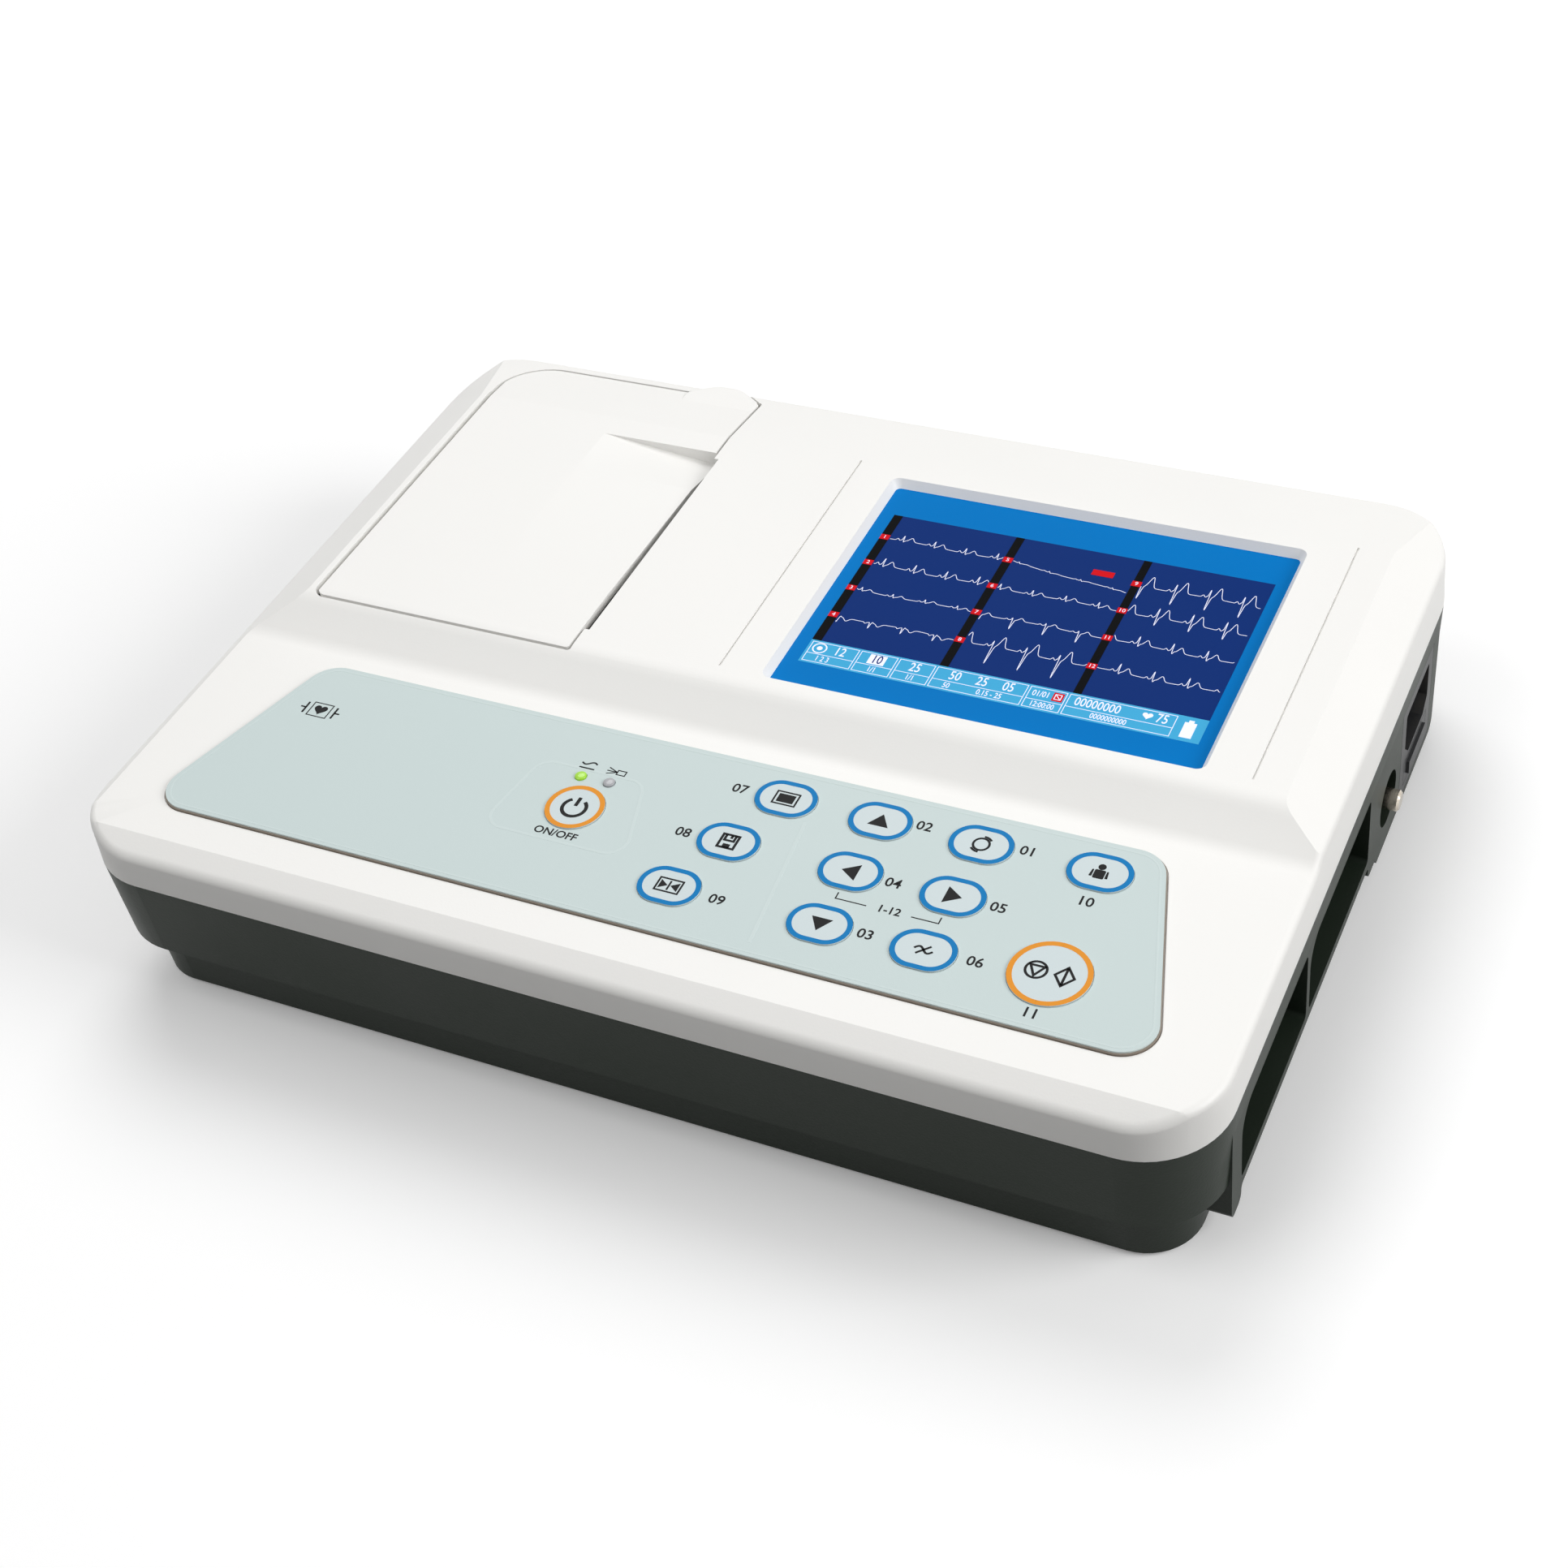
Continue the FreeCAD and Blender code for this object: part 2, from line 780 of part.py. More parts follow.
tab_top = rear_deck - s.tab_drop
tab_bottom = tab_top - s.tab_thickness
tab_root = back - s.back_crease_from_back + s.back_crease_from_back * s.tab_drop / s.back_fall


def tab_corners(grow):
    """The tab's outline: it leaves the falling deck where the two are level, and ends in a wide curve."""
    by = float(grow)
    middle = float(lid_right - s.tab_from_right)
    wide = float(s.tab_width) / 2 + by
    narrow = float(s.tab_width / 2 - s.tab_slant) + by
    shoulder, tip = float(lid_back), float(lid_back + s.tab_reach) + by
    side, end = float(s.tab_side_radius), float(s.tab_tip_radius)
    return [
        (middle - wide, tab_root, 0),
        (middle + wide, tab_root, 0),
        (middle + wide, shoulder, side),
        (middle + narrow, tip, end),
        (middle - narrow, tip, end),
        (middle - wide, shoulder, side),
    ]


# White upper shell with its openings

shell = feature("shell_blank", shell_blank)
shell_bosses = []
skin = deck_solid(s.boss_skin)
for i, (x, y) in enumerate(boss_spots):
    bar = Part.makeCylinder(
        float(s.boss_radius),
        float(rear_deck - boss_split),
        Vector(float(x), float(y), float(boss_split)),
    )
    shell_bosses.append(feature(f"shell_boss_{i}", bar.common(skin).Solids[0]))
display_bosses = []
for i, (x, y) in enumerate(display_spots):
    span = (window_bottom, deck_under + s.boss_skin)
    display_bosses.append(round_bar(f"display_boss_{i}", "z", s.standoff_radius, span, (x, y)))
shell_holes = [
    feature("window_opening", window_cut()),
    feature("keypad_pocket", prism(keypad_corners(-s.keypad_seat_clearance), "xy", pocket_floor, key_deck + 9)),
    feature("keypad_opening", prism(keypad_corners(s.keypad_ledge), "xy", parting, key_deck + 9)),
    feature("lid_opening", prism(lid_corners(s.lid_gap), "xy", parting, rear_deck + 9)),
    feature("tab_notch", prism(tab_corners(s.lid_gap), "xy", tab_bottom - s.lid_gap, rear_deck + 9)),
]
slot_span = grown((paper_low, paper_high), s.slot_over_paper)
slot_x = (lid_right - 1, lid_right + s.slot_width)
shell_holes.append(box("paper_slot", slot_x, slot_span, (parting, rear_deck + 9)))
crease = back - s.back_crease_from_back
bezel_edges = [window_x[0] - s.bezel_side_margin, window_x[1] + s.bezel_side_margin]
bezel_front = front + s.step_crest_from_front + s.step_crest_radius / 2
for i, x in enumerate(bezel_edges):
    across = (x - s.groove_width / 2, x + s.groove_width / 2)
    shell_holes.append(
        box(f"bezel_groove_{i}", across, (bezel_front, crease), (rear_deck - s.groove_depth, rear_deck + 1))
    )
for i, (x, y) in enumerate(boss_spots):
    span = (boss_split - 1, boss_split + s.case_screw_bite + 0.5)
    shell_holes.append(round_bar(f"boss_hole_{i}", "z", s.case_screw_radius, span, (x, y)))
display_screw_end = ear_bottom + s.board_screw_length
for i, (x, y) in enumerate(display_spots):
    span = (window_bottom - 1, display_screw_end)
    shell_holes.append(round_bar(f"display_hole_{i}", "z", s.board_screw_radius, span, (x, y)))
part(cut("shell_body", fuse("shell_bossed", [shell] + shell_bosses + display_bosses), shell_holes), "top_case")


# Keypad

backing_plate = feature("backing_plate", prism(keypad_corners(0), "xy", pocket_floor, backing_top))
rim_outside = s.keypad_ledge + s.keypad_rim_gap
rim_inside = rim_outside + s.keypad_rim_wall
rim_block = feature("backing_rim", prism(keypad_corners(rim_outside), "xy", keypad_board_top, pocket_floor))
rim_hollow = feature(
    "backing_rim_hollow", prism(keypad_corners(rim_inside), "xy", keypad_board_top - 1, pocket_floor)
)
flange_room = s.key_flange + s.key_clearance
backing_holes = key_holes("backing_holes", flange_room, pocket_floor - 1, backing_top + 1)
backing = fuse("backing_with_rim", [backing_plate, cut("backing_rim_ring", rim_block, [rim_hollow])])
part(cut("backing_body", backing, [backing_holes]), "keypad_backing")

overlay_sheet = feature("overlay_sheet", prism(keypad_corners(s.overlay_edge), "xy", backing_top, overlay_top))
overlay_holes = key_holes("overlay_holes", s.key_clearance, backing_top - 1, overlay_top + 1)
part(cut("overlay_body", overlay_sheet, [overlay_holes]), "keypad_overlay")

board_blank = prism(keypad_corners(rim_outside), "xy", keypad_board_bottom, keypad_board_top)
part(feature("keypad_board_body", board_blank), "keypad_board")

domes = []
for key, (x, y, width, depth) in KEYS.items():
    span = (keypad_board_top, dome_top)
    domes.append(
        round_bar(f"dome_{key}", "z", s.dome_radius, span, (x, y), top_radius=s.dome_radius / 2)
    )
part(group("dome_group", domes), "key_domes")

for key, (x, y, width, depth) in KEYS.items():
    cap = pad(x, y, width, depth, flange_top, key_top)
    rim = pad(x, y, width + s.key_flange * 2, depth + s.key_flange * 2, flange_bottom, flange_top)
    stem = round_bar(f"{key}_stem", "z", s.key_stem_radius, (stem_bottom, flange_bottom), (x, y))
    pieces = [feature(f"{key}_cap", cap), feature(f"{key}_rim", rim), stem]
    part(fuse(f"{key}_body", pieces), key)

for lamp, x in LAMPS.items():
    part(round_bar(f"{lamp}_body", "z", s.lamp_radius, (keypad_board_top, overlay_top + 0.3), (x, lamp_y)), lamp)


# Recorder positions

chassis_top = floor_top + s.chassis_floor
roll_x = hinge_x + s.roll_from_hinge
roll_z = chassis_top + s.roll_floor_gap + s.roll_radius
platen_x = lid_right - s.platen_from_edge
platen_z = rear_deck - s.platen_drop
motor_x = platen_x - s.motor_from_platen
motor_z = chassis_top + s.motor_floor_gap + s.motor_radius
cheek_inner = (paper_low - s.cheek_from_paper, paper_high + s.cheek_from_paper)
cheek_outer = grown(cheek_inner, s.cheek_wall)
cheek_top = rear_deck - s.cheek_top_drop
chassis_left = roll_x - s.roll_radius - s.chassis_left_margin
chassis_right = platen_x + s.chassis_right_margin
gear_low = cheek_outer[1] + s.gear_from_cheek
gear_high = gear_low + s.gear_width
gear_end = gear_high + 0.5
pivot_x = platen_x - s.head_pivot_from_platen
head_top = platen_z - s.platen_radius - s.head_gap
head_bottom = head_top - s.head_thickness
head_plate_bottom = head_bottom - s.head_plate_thickness
pivot_z = head_bottom - s.head_plate_thickness / 2
shelf_top = head_plate_bottom - s.head_spring_length
shelf_bottom = shelf_top - s.shelf_thickness
head_span = (paper_y - s.head_length / 2, paper_y + s.head_length / 2)
motor_span = (cheek_inner[1] - s.motor_length, cheek_inner[1])


def idler_place():
    """Where the idler sits: in mesh with both the platen gear and the pinion, on their left."""
    module = float(s.gear_module)
    reach = module * (float(s.platen_gear_teeth) + float(s.idler_gear_teeth)) / 2
    arm = module * (float(s.pinion_teeth) + float(s.idler_gear_teeth)) / 2
    top = Vector(float(platen_x), float(platen_z), 0)
    low = Vector(float(motor_x), float(motor_z), 0)
    line = low - top
    apart = line.Length
    line.normalize()
    along = (reach ** 2 - arm ** 2 + apart ** 2) / (2 * apart)
    out = math.sqrt(reach ** 2 - along ** 2)
    spot = top + line * along + Vector(line.y, -line.x, 0) * out
    return spot.x, spot.y


idler_x, idler_z = idler_place()


# Recorder chassis: a floor, two cheeks, a spring shelf

hinge_side = hinge_x - s.hinge_lug_radius + 1.0
swing = s.hinge_inset + 2.0
cheek_corners = [
    (chassis_left, floor_top, 0),
    (chassis_right, floor_top, 0),
    (chassis_right, cheek_top, 2.0),
    (hinge_x + s.hinge_lug_radius + 4.0, cheek_top, 2.0),
    (hinge_x + s.hinge_lug_radius, hinge_z, 0),
    (hinge_side, hinge_z, 0),
    (hinge_side, hinge_z - swing, 1.0),
    (chassis_left, hinge_z - swing - s.hinge_inset / 3, 1.0),
]
chassis_pieces = [box("chassis_base", (chassis_left, chassis_right), cheek_outer, (floor_top, chassis_top))]
chassis_cuts = []
cheek_spans = [(cheek_outer[0], cheek_inner[0]), (cheek_inner[1], cheek_outer[1])]
for i, span in enumerate(cheek_spans):
    past = (span[0] - 1, span[1] + 1)
    chassis_pieces.append(feature(f"cheek_{i}", prism(cheek_corners, "xz", *span)))
    chassis_pieces.append(round_bar(f"cheek_lug_{i}", "y", s.hinge_lug_radius, span, (hinge_x, hinge_z)))
    chassis_cuts.append(round_bar(f"cheek_hinge_hole_{i}", "y", s.hinge_pin_radius, past, (hinge_x, hinge_z)))
    slot = s.spindle_radius + s.spindle_clearance
    chassis_cuts.append(round_bar(f"spindle_seat_{i}", "y", slot, past, (roll_x, roll_z)))
    chassis_cuts.append(box(f"spindle_slot_{i}", (roll_x - slot, roll_x + slot), past, (roll_z, cheek_top + 9)))
    chassis_cuts.append(round_bar(f"pivot_hole_{i}", "y", s.head_pivot_radius, past, (pivot_x, pivot_z)))
rear_past = (cheek_inner[1] - 1, cheek_outer[1] + 1)
notch = s.platen_shaft_radius + 1.0
chassis_cuts.append(
    box("platen_notch", (platen_x - notch, platen_x + notch), rear_past, (platen_z - notch, cheek_top + 9))
)
chassis_cuts.append(round_bar("idler_hole", "y", s.idler_pin_radius, rear_past, (idler_x, idler_z)))
chassis_cuts.append(round_bar("motor_hole", "y", s.motor_shaft_radius * 3, rear_past, (motor_x, motor_z)))
shelf_x = (pivot_x - 0.5, platen_x + s.head_plate_reach + 2.0)
shelf_y = (cheek_inner[0], motor_span[0] - 2)
chassis_pieces.append(box("spring_shelf", shelf_x, shelf_y, (shelf_bottom, shelf_top)))
chassis_pieces.append(
    box("spring_web", (shelf_x[0], shelf_x[0] + s.shelf_thickness), shelf_y, (chassis_top, shelf_bottom))
)
chassis_spots = []
for x in (chassis_left + 6.0, pivot_x - 7.0):
    for y in (paper_low + 4.0, paper_high - 4.0):
        chassis_spots.append((x, y))
for i, (x, y) in enumerate(chassis_spots):
    hole = s.board_screw_radius + s.screw_clearance
    chassis_cuts.append(round_bar(f"chassis_hole_{i}", "z", hole, (floor_top - 1, chassis_top + 1), (x, y)))
part(cut("chassis_body", fuse("chassis_blank", chassis_pieces), chassis_cuts), "printer_chassis")


# Lid: a plate cut from the shell, with a sloping chute, a tab, ears for the platen and two hinge lugs

chute_left = lid_right - s.chute_width
chute_y = (lid_front + s.chute_from_lid_front, lid_front + s.chute_from_lid_front + s.chute_length)
lid_swing = Part.makeCylinder(
    float(s.hinge_inset + s.lid_edge_relief),
    float(lid_depth) + 2 * PAST,
    Vector(float(hinge_x), float(lid_front) - PAST, float(hinge_z)),
    Vector(0, 1, 0),
)
lid_right_side = Part.makeBox(
    float(lid_right - hinge_x) + PAST,
    float(lid_depth) + 2 * PAST,
    float(rear_deck),
    Vector(float(hinge_x), float(lid_front) - PAST, float(parting)),
)
lid_area = prism(lid_corners(0), "xy", parting, rear_deck + 9)
lid_plate = shell_blank.common(lid_area).common(lid_swing.fuse(lid_right_side))
lid_blank = feature("lid_blank", lid_plate.removeSplitter())
chute_low = rear_deck - s.chute_fall
chute_under = chute_low - s.shell_wall
CHUTE_OVERLAP = 0.01


def chute_loft(sections):
    """A straight-sided body through outlines that stand at places along the chute."""
    wires = [outline(corners, "xz", y) for y, corners in sections]
    return Part.makeLoft(wires, True, True)


chute_falls = [
    (chute_y[0], dim(0)),
    (chute_y[1] - s.chute_crease_from_wall, s.chute_crease_fall),
    (chute_y[1], s.chute_fall),
]
beyond = lid_right + 1
reach = (s.chute_width + 1) / s.chute_width
room_sections = []
plate_sections = []
for y, fall in chute_falls:
    room_sections.append((y, [
        (chute_left, rear_deck, 0),
        (beyond, rear_deck - fall * reach, 0),
        (beyond, rear_deck + 1, 0),
        (chute_left, rear_deck + 1, 0),
    ]))
    plate_sections.append((y, [
        (chute_left, rear_deck, 0),
        (chute_left, deck_under, 0),
        (lid_right, deck_under - fall, 0),
        (lid_right, rear_deck - fall, 0),
    ]))
chute_room = feature("chute_room", chute_loft(room_sections))
chute_plate = feature("chute_plate", chute_loft(plate_sections))
lid_pieces = [cut("lid_cleared", lid_blank, [chute_room]), chute_plate]
wall_corners = [(chute_left, deck_under - CHUTE_OVERLAP, 0), (lid_right, chute_under, 0),
                (lid_right, deck_under + 1, 0), (chute_left, deck_under + 1, 0)]
lid_pieces.append(feature("chute_wall", prism(wall_corners, "xz", chute_y[1], chute_y[1] + s.chute_end_wall)))
tab_profile = prism(tab_corners(0), "xy", tab_bottom, tab_top)
tab_rim = []
for edge in tab_profile.Edges:
    ends = [vertex.Point for vertex in edge.Vertexes]
    if min(end.z for end in ends) > float(tab_top) - PAST / 100 and max(end.y for end in ends) > float(tab_root) + 1:
        tab_rim.append(edge)
lid_pieces.append(feature("lid_tab", tab_profile.makeFillet(float(s.tab_edge_radius), tab_rim)))
bush_radius = s.platen_shaft_radius + s.bush_wall
ear_spans = [(paper_low - s.ear_from_paper - s.ear_wall, paper_low - s.ear_from_paper),
             (paper_high + s.ear_from_paper, paper_high + s.ear_from_paper + s.ear_wall)]
ear_tops = [deck_under + 0.5, chute_low - 0.2]
lug_thick = s.cheek_wall + 0.7
lug_spans = [(cheek_inner[0] + 0.3, cheek_inner[0] + 0.3 + lug_thick),
             (cheek_inner[1] - 0.3 - lug_thick, cheek_inner[1] - 0.3)]
lid_cuts = []
ear = s.ear_half_width
for i, span in enumerate(ear_spans):
    past = (span[0] - 1, span[1] + 1)
    lid_pieces.append(round_bar(f"ear_round_{i}", "y", ear, span, (platen_x, platen_z)))
    lid_pieces.append(box(f"ear_arm_{i}", (platen_x - ear, platen_x + ear), span, (platen_z, ear_tops[i])))
    lid_cuts.append(round_bar(f"ear_hole_{i}", "y", bush_radius, past, (platen_x, platen_z)))
lug = s.hinge_lug_radius
for i, span in enumerate(lug_spans):
    past = (span[0] - 0.2, span[1] + 0.2)
    lid_pieces.append(round_bar(f"lid_lug_{i}", "y", lug, span, (hinge_x, hinge_z)))
    lid_pieces.append(box(f"lid_lug_neck_{i}", (hinge_x - lug, hinge_x + lug), span, (hinge_z, deck_under + 0.5)))
    bore = s.hinge_pin_radius + s.hinge_clearance
    lid_cuts.append(round_bar(f"lid_lug_hole_{i}", "y", bore, past, (hinge_x, hinge_z)))
part(cut("lid_body", fuse("lid_fused", lid_pieces), lid_cuts), "paper_lid")

pin_spans = [(cheek_outer[0], lug_spans[0][1]), (lug_spans[1][0], cheek_outer[1])]
hinge_pins = []
for i, span in enumerate(pin_spans):
    hinge_pins.append(round_bar(f"hinge_pin_{i}", "y", s.hinge_pin_radius, span, (hinge_x, hinge_z)))
part(group("hinge_pin_group", hinge_pins), "lid_hinge_pins")


# Platen in the lid

platen_axis = (platen_x, platen_z)
shaft_span = (ear_spans[0][0] - 0.5, gear_end)
part(round_bar("platen_bar", "y", s.platen_shaft_radius, shaft_span, platen_axis), "platen_shaft")
rubber_span = grown((paper_low, paper_high), s.platen_over_paper)
part(tube("platen_rubber", "y", s.platen_radius, s.platen_shaft_radius, rubber_span, platen_axis), "platen_roller")
bush_bore = s.platen_shaft_radius + s.running_clearance
flange_radius = bush_radius + s.bush_flange
bush_flanges = [(ear_spans[0][1], ear_spans[0][1] + s.bush_flange),
                (ear_spans[1][0] - s.bush_flange, ear_spans[1][0])]
bushes = []
for i, span in enumerate(ear_spans):
    sleeve = round_bar(f"bush_sleeve_{i}", "y", bush_radius, span, platen_axis)
    collar = round_bar(f"bush_collar_{i}", "y", flange_radius, bush_flanges[i], platen_axis)
    whole = (min(span[0], bush_flanges[i][0], key=float) - 1, max(span[1], bush_flanges[i][1], key=float) + 1)
    bore = round_bar(f"bush_bore_{i}", "y", bush_bore, whole, platen_axis)
    bushes.append(cut(f"bush_{i}", fuse(f"bush_blank_{i}", [sleeve, collar]), [bore]))
part(group("bush_group", bushes), "platen_bushes")


# Gear train: platen gear, idler and motor pinion, with involute teeth

PRESSURE = math.radians(20)
FLANK_POINTS = 6


def involute_gear(teeth, phase, centre, low, high):
    """A spur gear along Y; phase turns its first tooth from X towards Z."""
    module = float(s.gear_module)
    count = int(round(float(teeth)))
    pitch = module * count / 2
    base = pitch * math.cos(PRESSURE)
    tip, root = pitch + module, pitch - 1.25 * module
    thick = math.pi * module / 2 - float(s.gear_backlash) / 2
    half = thick / (2 * pitch) + math.tan(PRESSURE) - PRESSURE
    start = max(base, root)

    def spot(radius, turn):
        x, z = float(centre[0]) + radius * math.cos(turn), float(centre[1]) + radius * math.sin(turn)
        return Vector(x, float(low), z)

    def spread(radius):
        roll = math.acos(min(1.0, base / radius))
        return half - (math.tan(roll) - roll)

    radii = [start + (tip - start) * k / (FLANK_POINTS - 1) for k in range(FLANK_POINTS)]
    edges = []
    for k in range(count):
        middle = phase + 2 * math.pi * k / count
        step = 2 * math.pi / count
        rising = [spot(r, middle - spread(r)) for r in radii]
        falling = [spot(r, middle + spread(r)) for r in reversed(radii)]
        low_left, low_right = spot(root, middle - spread(start)), spot(root, middle + spread(start))
        next_left = spot(root, middle + step - spread(start))
        for points in (rising, falling):
            curve = Part.BSplineCurve()
            curve.interpolate(points)
            edges.append(curve.toShape())
        edges.append(Part.Arc(rising[-1], spot(tip, middle), falling[0]).toShape())
        edges.append(Part.Arc(low_right, spot(root, middle + step / 2), next_left).toShape())
        if start > root + 1e-6:
            edges.append(Part.LineSegment(low_left, rising[0]).toShape())
            edges.append(Part.LineSegment(falling[-1], low_right).toShape())
    wire = Part.Wire(Part.sortEdges(edges)[0])
    return Part.Face(wire).extrude(Vector(0, float(high) - float(low), 0))


def bearing(start, end):
    return math.atan2(float(end[1]) - float(start[1]), float(end[0]) - float(start[0]))


idler_axis = (idler_x, idler_z)
motor_axis = (motor_x, motor_z)
idler_step = 2 * math.pi / float(s.idler_gear_teeth)
platen_phase = bearing(platen_axis, idler_axis)
idler_phase = platen_phase + math.pi + idler_step / 2
to_pinion = bearing(idler_axis, motor_axis)
tooth_lag = (to_pinion - idler_phase) % idler_step
gear_ratio = float(s.idler_gear_teeth / s.pinion_teeth)
pinion_phase = to_pinion + math.pi + tooth_lag * gear_ratio + math.pi / float(s.pinion_teeth)

gear_past = (gear_low - 5, gear_high + 5)
platen_teeth = feature(
    "platen_teeth", involute_gear(s.platen_gear_teeth, platen_phase, platen_axis, gear_low, gear_high)
)
platen_bore = round_bar("platen_gear_bore", "y", s.platen_shaft_radius, gear_past, platen_axis)
part(cut("platen_gear_body", platen_teeth, [platen_bore]), "platen_gear")

idler_teeth = feature(
    "idler_teeth", involute_gear(s.idler_gear_teeth, idler_phase, idler_axis, gear_low, gear_high)
)
hub_span = (cheek_outer[1] + 0.1, gear_low + 0.5)
idler_hub = round_bar("idler_hub", "y", s.idler_pin_radius * 2, hub_span, idler_axis)
idler_bore = round_bar("idler_bore", "y", s.idler_pin_radius + s.running_clearance, gear_past, idler_axis)
part(cut("idler_body", fuse("idler_blank", [idler_teeth, idler_hub]), [idler_bore]), "idler_gear")
idler_bar = round_bar("idler_bar", "y", s.idler_pin_radius, (cheek_inner[1], gear_high + 1), idler_axis)
idler_cap = round_bar("idler_cap", "y", s.idler_pin_radius * 1.7, (gear_high + 0.1, gear_high + 1), idler_axis)
part(fuse("idler_pin_body", [idler_bar, idler_cap]), "idler_pin")

pinion_cut = feature("pinion_teeth_body", involute_gear(s.pinion_teeth, pinion_phase, motor_axis, gear_low, gear_high))
motor_bar = round_bar(
    "motor_bar", "y", s.motor_shaft_radius, (motor_span[1] - s.motor_length / 2, gear_high), motor_axis
)
part(fuse("pinion_body", [pinion_cut, motor_bar]), "motor_pinion")
motor_can = round_bar("motor_can", "y", s.motor_radius, motor_span, motor_axis)
motor_bore = round_bar(
    "motor_bore",
    "y",
    s.motor_shaft_radius + s.running_clearance,
    (motor_span[1] - s.motor_length / 2 - 0.5, motor_span[1] + 1),
    motor_axis,
)
part(cut("motor_body", motor_can, [motor_bore]), "drive_motor")


# Print head on its pivot, pressed up by two springs

plate_span_x = (pivot_x, platen_x + s.head_plate_reach)
head_plate_box = box("head_plate_box", plate_span_x, head_span, (head_plate_bottom, head_bottom))
barrel_radius = s.head_plate_thickness * 0.7
barrel = round_bar("head_barrel", "y", barrel_radius, head_span, (pivot_x, pivot_z))
pivot_bore = round_bar(
    "head_pivot_bore", "y", s.head_pivot_radius + s.running_clearance, grown(head_span, 1), (pivot_x, pivot_z)
)
part(cut("head_plate_body", fuse("head_plate_blank", [head_plate_box, barrel]), [pivot_bore]), "head_plate")
head_x = (platen_x - s.head_width / 2, platen_x + s.head_width / 2)
part(box("head_ceramic", head_x, head_span, (head_bottom, head_top)), "print_head")
part(round_bar("head_pivot", "y", s.head_pivot_radius, cheek_outer, (pivot_x, pivot_z)), "head_pivot_pin")


SPRING_SIDES = 8


def coil(x, y, low, high):
    """A compression spring standing on Z: an octagonal wire carried along a helix."""
    wire, radius = float(s.head_spring_wire), float(s.head_spring_radius)
    rise = float(high) - float(low) - 2 * wire
    turns = float(s.head_spring_turns)
    steps = int(round(turns * 8))
    spots = []
    for k in range(steps + 1):
        turn = 2 * math.pi * turns * k / steps
        spots.append(Vector(radius * math.cos(turn), radius * math.sin(turn), rise * k / steps))
    curve = Part.BSplineCurve()
    curve.interpolate(spots)
    ring = []
    for k in range(SPRING_SIDES + 1):
        turn = 2 * math.pi * (k + 0.5) / SPRING_SIDES
        ring.append(Vector(radius + wire * math.cos(turn), 0, wire * math.sin(turn)))
    spring = Part.Wire([curve.toShape()]).makePipeShell([Part.makePolygon(ring)], True, True)
    spring.translate(Vector(float(x), float(y), float(low) + wire))
    return spring


spring_x = platen_x + s.head_plate_reach * 0.4
springs = []
for i, turn in enumerate((-1, 1)):
    y = paper_y + s.head_spring_spread * (turn / 2)
    springs.append(feature(f"spring_{i}", coil(spring_x, y, shelf_top, head_plate_bottom)))
part(group("spring_group", springs), "head_springs")


# Paper roll on its spindle

roll_axis = (roll_x, roll_z)
part(tube("roll_body", "y", s.roll_radius, s.roll_core_radius, (paper_low, paper_high), roll_axis), "paper_roll")
core = s.roll_core_radius - s.spindle_clearance
spindle_pieces = [
    round_bar("spindle_core", "y", core, (paper_low, paper_high), roll_axis),
    round_bar("spindle_collar", "y", s.spindle_radius * 1.5, grown(cheek_inner, -0.3), roll_axis),
    round_bar("spindle_journal", "y", s.spindle_radius, cheek_outer, roll_axis),
]
part(fuse("spindle_body", spindle_pieces), "paper_spindle")


# Lower case: a flared band over a narrower plinth, with a socket housing on the right

bay_face = half_width - s.housing_inset
bay_back = half_width - s.bay_depth
bay_inner = bay_back - s.bay_wall
bay_floor = s.bay_floor_height
bay_top = bay_floor + s.bay_height
front_bay = (front + s.front_bay_from_front, front + s.front_bay_from_front + s.front_bay_length)
rear_bay = (front_bay[1] + s.bay_rib, front_bay[1] + s.bay_rib + s.rear_bay_length)
housing_y = (front + s.housing_front_from_front, front + s.housing_front_from_front + s.housing_length)
housing_top = bay_top + s.bay_roof
stud_y = front + s.stud_from_front
inlet_y = front + s.inlet_from_front
inlet_z = s.inlet_height
plinth_top_inset = s.plinth_inset
plinth_low_inset = s.plinth_inset + s.plinth_draft


def lower_case_blank():
    wall = float(s.shell_wall)
    band = case_loft(s.band_draft, band_bottom, 0, parting)
    plinth = case_loft(plinth_low_inset, plinth_bottom, plinth_top_inset, band_bottom + 1)
    ledge = float(band_bottom + s.floor_wall)
    band_room = case_loft(s.band_draft + wall, ledge, wall, parting + 0.01)
    above = case_loft(wall, parting, wall, parting + 1)
    plinth_room = case_loft(plinth_low_inset + wall, floor_top, plinth_top_inset + wall, ledge + 0.01)
    under = bay_floor - s.bay_underside_wall
    lobe = s.lobe_bottom
    lobe_end = rear_bay[1] + 1.0 + s.lobe_length
    profile = [
        (housing_y[0], housing_top, 0),
        (housing_y[0], lobe, 2.5),
        (housing_y[0] + s.lobe_length, lobe, 2.5),
        (housing_y[0] + s.lobe_length, under, 1.5),
        (rear_bay[1] + 1.0, under, 1.5),
        (rear_bay[1] + 1.0, lobe, 2.0),
        (lobe_end, lobe, 0.8),
        (lobe_end + 1.5, s.housing_bottom, 0.8),
        (housing_y[1], s.housing_bottom, 4.0),
        (housing_y[1] + 2.0, housing_top, 0),
    ]
    housing = prism(profile, "yz", bay_inner, bay_face)
    whole = band.fuse([plinth, housing]).cut(Part.makeCompound([above]))
    return whole.cut(plinth_room).cut(band_room).fuse(housing).removeSplitter().Solids[0]


def bay_room(span):
    corner = s.bay_corner_radius
    profile = [
        (span[0], bay_floor, corner),
        (span[1], bay_floor, corner),
        (span[1], bay_top, corner),
        (span[0], bay_top, s.bay_top_radius),
    ]
    return prism(profile, "yz", bay_back, half_width + 5)


